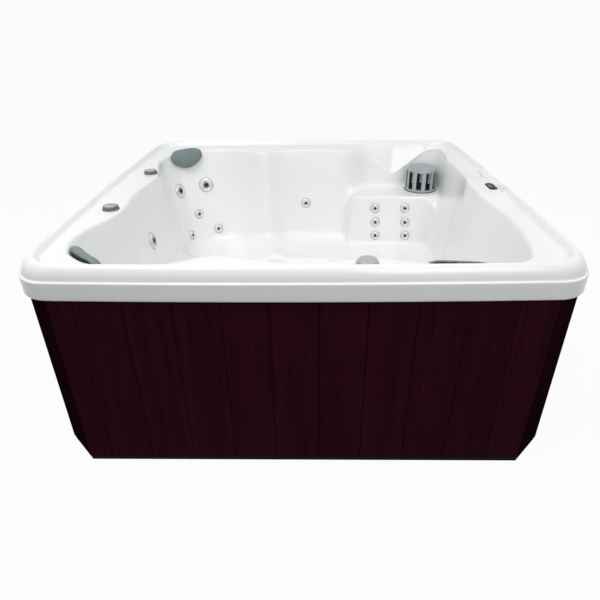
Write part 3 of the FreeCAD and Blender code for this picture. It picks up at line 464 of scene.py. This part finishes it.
# moulded shell, in mm; the stations are read round the tub by direction from its centre
tubShell = {
    "height": 840, "rimHalf": 965, "rimBow": 12, "rimCorner": 130, "wall": 10,
    "lipHeight": 66, "lipWall": 7, "lipFoot": 2, "ledge": 7, "beadHeight": 50, "beadJoin": 3,
    "beadPower": 1.18, "beadSteps": (16, 6), "beadInsets": (39, 42, 55), "deckDrop": 24, "deckOverEdge": 4,
    "wallShares": (0.34, 0.68), "seatFall": 6,
    "floorZ": 95, "riserDraft": 55, "floorFlat": 60, "shelfZ": 570, "panelDraft": 12, "footBenchZ": 255,
    "footBenchFront": 425, "sideColumns": (20, 26, 16, 16), "cornerColumns": 4, "finer": 5, "sharpFrom": 38,
    # reach of each bend along its legs, steps round it, extra rows on the leg after it
    "bends": [(12, 5, 0), (10, 5, 0), (14, 5, 2), (30, 6, 2), (20, 5, 3), (55, 9, 4), (35, 7, 3), (40, 7, 0)],
    "backBends": [(8, 1, 0), (8, 1, 0), (20, 2, 1), (30, 2, 1), (20, 2, 1), (50, 3, 2), (40, 2, 1), (40, 3, 0)],
    "lipBends": [(8, 6, 2), (8, 6, 0), (3, 3, 0)], "lipBackBends": [(3, 2, 0), (3, 2, 0)],
    # direction, basin edge radius, edge below rim, seat back foot radius, seat height, seat front radius
    "seats": [
        (-179, 795, 30, 715, 335, 400), (-169, 806, 30, 725, 335, 405), (-159, 822, 28, 745, 330, 430),
        (-153.5, 868, 28, 775, 315, 440), (-149, 985, 30, 860, 292, 445), (-144, 1072, 30, 926, 258, 450),
        (-137.8, 1116, 30, 960, 248, 455), (-131.5, 1114, 30, 960, 248, 455), (-124, 1062, 30, 915, 260, 445),
        (-117.5, 968, 28, 850, 292, 430), (-110.5, 862, 6, 770, 310, 410), (-103, 850, 20, 755, 325, 398),
        (-95, 843, 30, 745, 330, 392), (-86, 842, 30, 745, 330, 392), (-78, 836, 28, 745, 325, 400),
        (-72, 845, 28, 755, 320, 410), (-66, 905, 30, 800, 300, 425), (-60, 1000, 35, 870, 275, 440),
        (-52, 1095, 40, 950, 268, 450), (-45, 1115, 40, 970, 265, 455), (-36, 1038, 45, 905, 270, 450),
        (-28, 965, 45, 850, 285, 440), (-17, 885, 48, 790, 330, 425), (-9, 805, 18, 745, 325, 415),
        (0, 800, 18, 740, 300, 410), (8, 806, 18, 745, 285, 410), (13, 862, 50, 790, 275, 412),
        (21, 912, 50, 845, 262, 415), (28, 962, 50, 890, 258, 418), (33, 1012, 50, 935, 256, 420),
        (69.5, 850, 40, 765, 268, 395), (74, 815, 32, 735, 268, 388), (83, 803, 30, 722, 265, 380),
        (92, 801, 30, 720, 265, 376), (102, 785, 28, 705, 270, 380), (109.5, 742, 25, 675, 285, 392),
        (113, 812, 28, 725, 290, 410), (117, 888, 28, 790, 288, 425), (122, 962, 28, 848, 258, 440),
        (130, 1036, 28, 912, 245, 450), (138.5, 1060, 28, 930, 245, 455), (148, 992, 28, 870, 252, 445),
        (153.5, 902, 28, 800, 298, 435), (158, 845, 28, 760, 320, 425), (163, 796, 28, 735, 332, 415),
        (170, 783, 28, 715, 335, 403),
    ],
    # filter corner: direction, niche edge radius, edge below rim, shelf front radius
    "shelf": [(37, 1055, 48, 980), (41, 1135, 45, 905), (45.4, 1198, 45, 842), (49.5, 1165, 62, 790),
              (53.5, 1035, 165, 748), (56.5, 985, 205, 720), (60, 958, 125, 694), (65, 930, 75, 662)],
    # dip in the right rim for the control, on a pad that thickens the shell under it
    "notch": {"ends": (-146, 211), "slope": 22, "z": 826, "inner": 64, "past": 20, "over": 1,
              "padInset": 15, "padDeep": 12, "padHigh": 18},
}


def rimOutline(shell, share):
    # one plan point per column: a shallow bow along each side, then a quarter round;
    # share moves every point on by a part of a column
    reach = shell["rimHalf"] - shell["rimBow"] - shell["rimCorner"]
    sides = []
    for turn, count in enumerate(shell["sideColumns"]):
        y = reach * (2 * (np.arange(count) + share) / count - 1)
        side = np.stack([shell["rimHalf"] - shell["rimBow"] * (y / reach) ** 2, y], 1)
        a = np.radians(90 * (np.arange(shell["cornerColumns"]) + share) / shell["cornerColumns"])
        corner = reach + shell["rimCorner"] * np.stack([np.cos(a), np.sin(a)], 1)
        quarter = np.concatenate([side, corner])
        for spin in range(turn):
            quarter = np.stack([-quarter[:, 1], quarter[:, 0]], 1)
        sides.append(quarter)
    return np.concatenate(sides)


def stationTable(shell):
    # direction, edge radius, drop, two wall points, seat foot, seat height and seat front for every station
    deg, edge, drop, foot, seatZ, front = np.array(shell["seats"], float).T
    edgeZ = shell["height"] - drop
    wall = [v for k in shell["wallShares"] for v in (edge + (foot - edge) * k, edgeZ + (seatZ - edgeZ) * k)]
    seats = np.stack([deg, edge, drop, *wall, foot, seatZ, front], 1)
    deg, edge, drop, front = np.array(shell["shelf"], float).T
    flat, draft = 0 * deg + shell["shelfZ"], shell["panelDraft"]
    bench, benchFront = 0 * deg + shell["footBenchZ"], 0 * deg + shell["footBenchFront"]
    shelf = np.stack([deg, edge, drop, edge - draft, flat, front, flat, front - draft, bench, benchFront], 1)
    table = np.concatenate([seats, shelf])
    return table[np.argsort(table[:, 0])]


def roundedRows(corners, bends, longest=0.45):
    # corners joined by straight legs, each corner rounded by a parabola that starts its reach before it or,
    # on a short leg, the longest share of the leg
    rows, extra, legStart = [corners[0]], 0, None
    for a, c, b, (reach, steps, more) in zip(corners, corners[1:], corners[2:], bends):
        spans = [np.linalg.norm(end - c, axis=1)[:, None] for end in (a, b)]
        first, last = (c + (end - c) * np.minimum(reach, longest * span) / span
                       for end, span in zip((a, b), spans))
        rows += [legStart + (first - legStart) * (k + 1) / (extra + 1) for k in range(extra)]
        rows += [(1 - t) ** 2 * first + 2 * t * (1 - t) * c + t * t * last
                 for t in np.linspace(0, 1, steps + 1)]
        extra, legStart = more, last
    return np.stack(rows + [corners[-1]])


def setBack(corners, wall):
    # the same corner line moved square to itself by the wall
    lines = np.diff(corners, axis=0)
    lines /= np.linalg.norm(lines, axis=2)[:, :, None]
    normals = np.stack([-lines[:, :, 1], lines[:, :, 0]], 2)
    before, after = np.concatenate([normals[:1], normals]), np.concatenate([normals, normals[-1:]])
    return corners + (before + after) * (wall / (1 + (before * after).sum(2)))[:, :, None]


def smoothRound(rows, finer):
    # closed uniform cubic B-spline round the tub, with each row's points as its control points
    t = np.arange(finer) / finer
    inner = [3 * t ** 3 - 6 * t ** 2 + 4, -3 * t ** 3 + 3 * t ** 2 + 3 * t + 1]
    weights = np.stack([(1 - t) ** 3, *inner, t ** 3]) / 6
    near = np.stack([np.roll(rows, shift, axis=1) for shift in (1, 0, -1, -2)])
    return np.einsum("sk,srcd->rckd", weights, near).reshape(len(rows), -1, rows.shape[2])


def basinRows(shell, wall):
    # bead shoulder, deck, wall, seat, riser and floor for each column, then smoothed round
    outline = rimOutline(shell, 0)
    rimR = np.hypot(outline[:, 0], outline[:, 1])
    deg = np.degrees(np.arctan2(outline[:, 1], outline[:, 0]))
    stations, *values = stationTable(shell).T
    edge, drop, upperR, upperZ, lowerR, lowerZ, seatR, seatZ, front = (
        np.interp(deg, stations, value, period=360) for value in values)
    top = np.full(len(deg), shell["height"], float)
    inset = [rimR * (1 - d / shell["rimHalf"]) for d in shell["beadInsets"]]
    foot = front - shell["riserDraft"]
    floor = np.full(len(deg), shell["floorZ"], float)
    deck = top - np.minimum(shell["deckDrop"], drop - shell["deckOverEdge"])
    pairs = [(inset[0], top), (inset[1], top), (inset[2], deck), (edge, top - drop), (upperR, upperZ),
             (lowerR, lowerZ), (seatR, seatZ), (front, seatZ - shell["seatFall"]), (foot, floor),
             (foot - shell["floorFlat"], floor)]
    corners = np.stack([np.stack(pair, 1) for pair in pairs])
    if wall:
        corners = setBack(corners, wall)
    profile = roundedRows(corners, shell["backBends"] if wall else shell["bends"])
    plan = outline / rimR[:, None]
    rows = np.concatenate([profile[:, :, :1] * plan[None], profile[:, :, 1:]], 2)
    return smoothRound(rows, shell["finer"])


def rimRows(shell, profile):
    # each profile point (inset, z) carried round the exact rim outline
    finer = shell["finer"]
    outline = np.stack([rimOutline(shell, k / finer) for k in range(finer)], 1).reshape(-1, 2)
    level = np.ones((len(outline), 1))
    return np.stack([np.concatenate([outline * (1 - d / shell["rimHalf"]), level * z], 1) for d, z in profile])


def beadRoll(shell, foot, low, top, steps):
    # quarter of an ellipse, a little flattened, from the foot of the bead up to its crown
    a = np.linspace(0, math.pi / 2, steps + 1)[1:]
    crown = shell["beadInsets"][0] - shell["beadJoin"] - foot
    across, up = (v.clip(0) ** shell["beadPower"] for v in (np.cos(a), np.sin(a)))
    return np.stack([foot + crown * (1 - across), low + (top - low) * up], 1)


def rimProfiles(shell):
    # face and underside of the lip and bead as (inset, z), each from its low end up
    step = shell["height"] - shell["beadHeight"]
    low, top, lip, ledge = step - shell["lipHeight"], shell["height"], shell["lipWall"], shell["ledge"]
    under, foot = step - lip, low + shell["lipFoot"]
    face = np.array([(lip, low), (0, low), (0, step), (ledge, step), (ledge, top)], float)
    inside = np.array([(lip, foot), (lip, under), (ledge + lip, under), (ledge + lip, top)], float)
    outer = roundedRows(face[:, None], shell["lipBends"])[:-1, 0]
    inner = roundedRows(inside[:, None], shell["lipBackBends"])[:-1, 0]
    faceSteps, underSteps = shell["beadSteps"]
    return (np.concatenate([outer, beadRoll(shell, ledge, step, top, faceSteps)]),
            np.concatenate([inner, beadRoll(shell, ledge + lip, under, top - shell["wall"], underSteps)]))


def shellSurface(shell):
    # closed skin: floor middle, up the basin, over the bead, down the lip and back along the underside
    outer, inner = rimProfiles(shell)
    rows = np.concatenate([basinRows(shell, 0)[::-1], rimRows(shell, outer)[::-1], rimRows(shell, inner),
                           basinRows(shell, shell["wall"])])
    count, around = rows.shape[:2]
    poles = [[0, 0, shell["floorZ"]], [0, 0, shell["floorZ"] - shell["wall"]]]
    j, last, pole = np.arange(around), (count - 1) * around, count * around
    nextJ = (j + 1) % around
    topFan = np.stack([j, nextJ, 0 * j + pole], 1)
    lowFan = np.stack([last + nextJ, last + j, 0 * j + pole + 1], 1)
    faces = ringFaces(count, around) + topFan.tolist() + lowFan.tolist()
    return np.concatenate([rows.reshape(-1, 3), poles]) * mm, faces


# seats and bores under the fittings, in mm: seat radius and bore radius, and how far each cut goes
shellOpenings = {
    "largeJet": (46, 27.3), "smallJet": (31, 17.3), "seatDeep": 3.5, "boreDeep": 50, "jetClear": 56,
    "airControl": (37, 18.3), "diverter": (40, 22.3), "deckSeatZ": 811.5, "deckClear": 60,
    "filterSeat": (101, 83.3), "filterSeatZ": 568.5, "filterDeep": 60, "filterClear": 60,
    "around": 40, "filterAround": 72,
    # two suction covers and the light on the footwell's riser: place, facing, seat radius, bore radius
    "footwell": [((132.75, -364.73, 205), (0.02378, 0.97175, 0.2348), 50, 24.3),
                 ((-131.33, -360.82, 205), (0.00213, 0.97089, 0.23953), 50, 24.3),
                 ((0, -365.66, 215), (0.01686, 0.97223, 0.23341), 42, 28.3)],
    "footwellClear": 36,
    # control in the rim: plan place, length and width of its seat, length and width of the well below it
    "control": {"place": (880, -48), "seat": (98, 40), "seatZ": 820.5, "clear": 40, "endSteps": 20,
                "well": (61, 27), "wellDeep": 50, "overlap": 1},
}


def turnedPlug(profile, place, facing, around):
    # closed solid of revolution: profile of (radius, along) turned round the facing direction
    profile = np.array(profile, float)
    n = np.array(facing, float) / np.linalg.norm(facing)
    side = np.cross(n, (0, 0, 1) if abs(n[2]) < 0.9 else (1, 0, 0))  # never along the facing
    side /= np.linalg.norm(side)
    a = np.linspace(0, 2 * math.pi, around, endpoint=False)
    ring = np.outer(np.cos(a), side) + np.outer(np.sin(a), np.cross(n, side))
    rows = profile[:, 0, None, None] * ring[None] + profile[:, 1, None, None] * n + np.array(place, float)
    return rows.reshape(-1, 3), tubeFaces(len(profile), around)


def counterbore(radii, levels, place, facing, around):
    # the bore from its low end up to the seat, then as wide as the seat up into the open
    (seat, bore), (low, step, high) = radii, levels
    return turnedPlug([(bore, low), (bore, step), (seat, step), (seat, high)], place, facing, around)


def openingTools(openings):
    # one counterbore per fitting, gathered into one mesh; levels are along the fitting's own axis
    up, around, deep, step = (0, 0, 1), openings["around"], openings["boreDeep"], -openings["seatDeep"]
    z = openings["deckSeatZ"]
    jetLevels, footwellLevels = ((-deep, step, openings[clear]) for clear in ("jetClear", "footwellClear"))
    deckLevels = (z - deep, z, z + openings["deckClear"])
    tools = []
    for child, joint in joints.items():
        x, y, height = (v / mm for v in joint.get("pos_m", (0, 0, 0)))
        if child.startswith("jet_"):
            radii = openings[jetSize(child)]
            tools.append(counterbore(radii, jetLevels, (x, y, height), joint["axis"], around))
        elif child.startswith("air_knob") or child == "diverter_knob":
            radii = openings["airControl" if child.startswith("air") else "diverter"]
            tools.append(counterbore(radii, deckLevels, (x, y, 0), up, around))
    for place, facing, *radii in openings["footwell"]:
        tools.append(counterbore(radii, footwellLevels, place, facing, around))
    z = openings["filterSeatZ"]
    radii, filterLevels = openings["filterSeat"], (z - openings["filterDeep"], z, z + openings["filterClear"])
    tools.append(counterbore(radii, filterLevels, (*filterAxis, 0), up, openings["filterAround"]))
    starts = np.cumsum([0] + [len(points) for points, faces in tools])
    faces = [[v + int(start) for v in face] for start, tool in zip(starts, tools) for face in tool[1]]
    return np.concatenate([points for points, faces in tools]) * mm, faces


def prism(plan, low, high):
    # upright solid over a plan outline, in mm
    plan = np.array(plan, float)
    points = np.concatenate([np.column_stack([plan, np.full(len(plan), z)]) for z in (low, high)])
    return points * mm, tubeFaces(2, len(plan))


def rectangle(x0, x1, y0, y1):
    return [(x0, y0), (x1, y0), (x1, y1), (x0, y1)]


def stadium(long, wide, steps):
    # two half rounds that straight sides join, long in y
    a = np.linspace(-math.pi / 2, math.pi / 2, steps)
    end = np.stack([np.sin(a) * wide / 2, np.cos(a) * wide / 2 + (long - wide) / 2], 1)
    return np.concatenate([end, -end])


def cut(piece, points, faces, operation="DIFFERENCE"):
    tool = newPiece("openingTool", points, faces, finishes["acrylic"])
    faceOutward(tool)
    modifier = piece.modifiers.new("opening", "BOOLEAN")
    modifier.object, modifier.operation, modifier.solver = tool, operation, "MANIFOLD"
    applyModifiers(piece)
    bpy.data.objects.remove(tool)


def cutNotch(piece, shell, notch):
    (y0, y1), z, half, over = notch["ends"], notch["z"], shell["rimHalf"], shell["height"] + notch["over"]
    inner, padLow = half - notch["inner"], z - notch["padDeep"]
    pad = rectangle(inner, half - shell["ledge"] - notch["padInset"], y0, y1)
    cut(piece, *prism(pad, padLow, padLow + notch["padHigh"]), "UNION")
    dip = [(y0, over), (y0 + notch["slope"], z), (y1 - notch["slope"], z), (y1, over)]
    points, faces = prism(dip, inner - notch["past"], half + notch["past"])
    cut(piece, points[:, [2, 0, 1]], faces)  # the dip is drawn in y and z and runs along x


def cutControl(piece, control):
    x, y = control["place"]
    z, (long, wide) = control["seatZ"], control["well"]
    cut(piece, *prism(stadium(*control["seat"], control["endSteps"]) + (x, y), z, z + control["clear"]))
    well = rectangle(x - wide / 2, x + wide / 2, y - long / 2, y + long / 2)
    cut(piece, *prism(well, z - control["wellDeep"], z + control["overlap"]))


def makeShell(shell, openings):
    piece = newPiece("tubShell", *shellSurface(shell), finishes["acrylic"])
    faceOutward(piece)
    cutNotch(piece, shell, shell["notch"])
    cut(piece, *openingTools(openings))
    cutControl(piece, openings["control"])
    smoothFaces(piece, shell["sharpFrom"])
    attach(piece, "tub")
    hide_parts("shell")
    return piece


tub = makeShell(tubShell, shellOpenings)
print("shell moulded,", len(tub.data.polygons), "faces")


# rounded bead moulded along the edge of the filter niche, in mm and degrees
archBead = {"ends": (35.5, 58), "radius": 8.5, "sunk": 4.0, "edgeRow": 15, "around": 16, "taper": 0.45,
            "tip": 0.004, "sharpFrom": 60}


def makeArchBead(shell, look):
    # a circle carried along the niche edge, part sunk in the shell, that narrows to both ends
    # as a sine to a power
    rows = basinRows(shell, 0)
    k, (start, stop) = look["edgeRow"], look["ends"]
    deg = np.degrees(np.arctan2(rows[k, :, 1], rows[k, :, 0]))
    pick = (deg > start) & (deg < stop)
    path, across = rows[k, pick], rows[k + 2, pick] - rows[k - 2, pick]
    along = np.gradient(path, axis=0)
    outward = np.cross(along, across)
    outward /= np.linalg.norm(outward, axis=1)[:, None]
    outward *= np.sign(outward[:, 2:])
    side = np.cross(outward, along)
    side /= np.linalg.norm(side, axis=1)[:, None]
    narrow = np.sin(np.pi * np.linspace(look["tip"], 1 - look["tip"], len(path)))[:, None] ** look["taper"]
    middle = path - outward * look["sunk"] * narrow
    a = np.linspace(0, 2 * math.pi, look["around"], endpoint=False)[None, :, None]
    ring = np.cos(a) * outward[:, None] + np.sin(a) * side[:, None]
    points = middle[:, None] + ring * (look["radius"] * narrow)[:, None]
    piece = newPiece("archBead", points.reshape(-1, 3) * mm, tubeFaces(*points.shape[:2]), finishes["acrylic"])
    faceOutward(piece)
    smoothFaces(piece, look["sharpFrom"])
    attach(piece, "tub")


makeArchBead(tubShell, archBead)
print("bead laid round the filter niche")


# head pillows, lengths in metres: how far off the wall each pillow is painted near black as painted shade of
# the gap between pillow and wall, and how soft its edge is, skin spacing, air pressure, most that a point may
# swell, levels at which the wall behind is read
pillowMake = {
    "gapShadeReach": {"pillow_far_left": 0.0045, "pillow_near_left": 0.0045, "pillow_near_right": 0.0115},
    "gapShadeSoft": 0.001, "weld": 1e-5, "spacing": 0.005, "soften": (0.5, 4), "pressure": 4.0, "steps": 20,
    "shrink": 0.002, "swell": 0.006, "freeing": 2.5, "fill": 0.8,
    "wallLevels": (0.5, 0.84), "wallStep": 0.005, "wallTop": 0.796,
}


def pillowFinish():
    # closed-cell foam with a fine pebbled skin, grey with a green cast; next to the wall it is painted near
    # black, a painted shadow of the gap between pillow and wall
    look = {"grey": (0.142, 0.193, 0.188), "pale": (0.235, 0.28, 0.28), "back": (0.006, 0.006, 0.006),
            "clouds": 18, "rough": 0.42, "roughSpread": 0.2, "pebbles": 700, "pebbleDeep": 0.0004,
            "pebbleStrength": 0.35}
    f = Finish("pillowFoam", Specular_IOR_Level=0.4)
    cloud = f.noise(look["clouds"], detail=4)
    skin = f.mix(cloud, look["grey"], look["pale"])
    # painted shade: the near-black back colour takes over where the pillow lies close to the wall, standing in
    # for the shadow in the gap
    back = f.add("ShaderNodeAttribute", {"attribute_name": "paintedGapShade"}, None, "Fac")
    f.set("Base Color", f.mix(back, skin, look["back"]))
    f.set("Roughness", look["rough"] + cloud * look["roughSpread"])
    f.bump(f.noise(look["pebbles"], detail=2), look["pebbleDeep"], look["pebbleStrength"])
    return f.material


def readRows(values, attribute):
    rows = np.empty(len(values) * 3, np.float32)
    values.foreach_get(attribute, rows)
    return rows.reshape(-1, 3).astype(float)


def placePoints(mesh, points):
    mesh.vertices.foreach_set("co", points.astype(np.float32).ravel())


def wallGap(shell, look, points):
    # level distance from each point out to the basin wall: the wall's radius is tabled by column and level,
    # then read between neighbours by the point's direction and height
    rows = basinRows(shell, 0)[::-1] * mm
    levels = np.arange(*look["wallLevels"], look["wallStep"])
    radius = np.hypot(rows[:, :, 0], rows[:, :, 1])
    wall = np.stack([np.interp(levels, rows[:, k, 2], radius[:, k]) for k in range(rows.shape[1])])
    middle = rows[len(rows) // 2]
    deg = np.degrees(np.arctan2(middle[:, 1], middle[:, 0]))
    count = len(deg)
    column = np.interp(np.degrees(np.arctan2(points[:, 1], points[:, 0])), deg, np.arange(count), period=360)
    height = np.minimum(points[:, 2], look["wallTop"]) - levels[0]
    level = np.clip(height / look["wallStep"], 0, len(levels) - 1.001)  # so that there is a level above
    c, z = column.astype(int), level.astype(int)
    s, t = column - c, level - z
    first, second = (wall[k % count, z] * (1 - t) + wall[k % count, z + 1] * t for k in (c, c + 1))
    return first * (1 - s) + second * s - np.hypot(points[:, 0], points[:, 1])


def evenSkin(node, look):
    # the CAD pillow's skin, welded, evened out and softened
    piece = bpy.data.objects.new(node + ".foam", cadNodes[node].data.copy())
    scene.collection.objects.link(piece)
    work = bmesh.new()
    work.from_mesh(piece.data)
    bmesh.ops.remove_doubles(work, verts=work.verts, dist=look["weld"])
    work.to_mesh(piece.data)
    work.free()
    remesh = piece.modifiers.new("evenSkin", "REMESH")
    remesh.mode, remesh.voxel_size = "VOXEL", look["spacing"]
    soften = piece.modifiers.new("soften", "SMOOTH")
    soften.factor, soften.iterations = look["soften"]
    applyModifiers(piece)
    return piece


def blowUp(piece, look):
    # air pressure in a slightly shrunk skin; no point moves past the swell, and the side on the wall stays
    rest, normals = readRows(piece.data.vertices, "co"), readRows(piece.data.vertex_normals, "vector")
    middle = rest.mean(0)
    inward = -np.array([middle[0], middle[1], 0]) / math.hypot(middle[0], middle[1])
    placePoints(piece.data, rest - normals * look["shrink"])
    cloth = piece.modifiers.new("air", "CLOTH")
    cloth.settings.use_pressure = True
    cloth.settings.uniform_pressure_force = look["pressure"]
    cloth.settings.effector_weights.gravity = 0
    cloth.point_cache.frame_start, cloth.point_cache.frame_end = 1, look["steps"]
    for step in range(1, look["steps"] + 1):
        scene.frame_set(step)
    blown = piece.evaluated_get(bpy.context.evaluated_depsgraph_get()).data
    move = readRows(blown.vertices, "co") - rest
    piece.modifiers.clear()
    scene.frame_set(1)
    far = np.linalg.norm(move, axis=1)[:, None]
    move *= np.minimum(1, look["swell"] / np.maximum(far, 1e-9))
    free = np.clip(normals @ inward * look["freeing"] + 0.5, 0, 1)[:, None]
    placePoints(piece.data, rest + move * free)


def makePillow(node, look, material):
    piece = evenSkin(node, look)
    blowUp(piece, look)
    mesh = piece.data
    gap = wallGap(tubShell, look, readRows(mesh.vertices, "co"))
    # painted shade: share of the near-black gap colour, full where the pillow lies within its reach of the wall
    shade = np.clip(0.5 + (look["gapShadeReach"][node] - gap) / (2 * look["gapShadeSoft"]), 0, 1)
    mesh.attributes.new("paintedGapShade", "FLOAT", "POINT").data.foreach_set("value", shade.astype(np.float32))
    finer = piece.modifiers.new("finer", "SUBSURF")
    finer.levels = finer.render_levels = 1
    giveFinish(piece, material)
    mesh.polygons.foreach_set("use_smooth", np.ones(len(mesh.polygons), bool))
    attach(piece, "tub")
    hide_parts(node)
    print(node, "swelled from", len(gap), "points, gap to the wall", round(float(gap.min()), 4))


foam = pillowFinish()
for node in pillowMake["gapShadeReach"]:
    makePillow(node, pillowMake, foam)
print("pillows filled")


# studio: pale floor and soft light from above; a lamp has a name, a place, an aim, a width and a power
studio = {
    "floor": 30.0, "floorZ": -0.001, "paint": 0.12, "seenPaint": 0.95, "floorRough": 0.9, "glow": 0.94,
    "world": 0.34, "sky": (0.955, 0.98, 1.0), "backdrop": 0.96, "seenSky": (1, 1, 1),
    "lamps": [
        ("overhead", (0.0, -0.2, 3.6), (0, 0, 0.6), 3.4, 26),
        ("key", (-1.2, -1.4, 3.7), (0.3, 0.2, 0.6), 1.6, 44),
        ("fill", (1.3, -3.0, 2.9), (0.0, 0.3, 0.6), 1.6, 29),
    ],
}


def floorFinish(look):
    # the camera sees a glowing pale floor that keeps the shadow; the tub gets only a dim bounce from it
    f = Finish("studioFloorPaint", Roughness=look["floorRough"])
    seen = f.seen()
    f.set("Base Color", f.between(seen, look["paint"], look["seenPaint"]))
    painted, glow = Wire(f, f.shader.outputs[0]), f.add("ShaderNodeEmission")
    blend = f.add("ShaderNodeMixShader", None, {0: seen * look["glow"], 1: painted, 2: glow})
    f.join(blend, f.tree.nodes["Material Output"], "Surface")
    return f.material


def lightWorld(look):
    scene.world = bpy.data.worlds.new("studioWorld")
    scene.world.use_nodes = True
    wiring = Wiring(scene.world.node_tree)
    back, seen = wiring.tree.nodes["Background"], wiring.seen()
    wiring.join(wiring.between(seen, look["world"], look["backdrop"]), back, "Strength")
    wiring.join(wiring.mix(seen, look["sky"], look["seenSky"]), back, "Color")


def hangLamp(name, place, aim, width, power):
    data = bpy.data.lights.new(name, "AREA")
    data.shape, data.size, data.energy = "SQUARE", width, power
    lamp = bpy.data.objects.new(name, data)
    lamp.location = place
    lamp.rotation_euler = (Vector(aim) - Vector(place)).to_track_quat("-Z", "Y").to_euler()
    scene.collection.objects.link(lamp)


def makeStudio(look):
    half = look["floor"] / 2
    points = [(x, y, look["floorZ"]) for x, y in rectangle(-half, half, -half, half)]
    floor = newPiece("studioFloor", points, [(0, 1, 2, 3)], floorFinish(look))
    lightWorld(look)
    for lamp in look["lamps"]:
        hangLamp(*lamp)


makeStudio(studio)
print("studio lit")
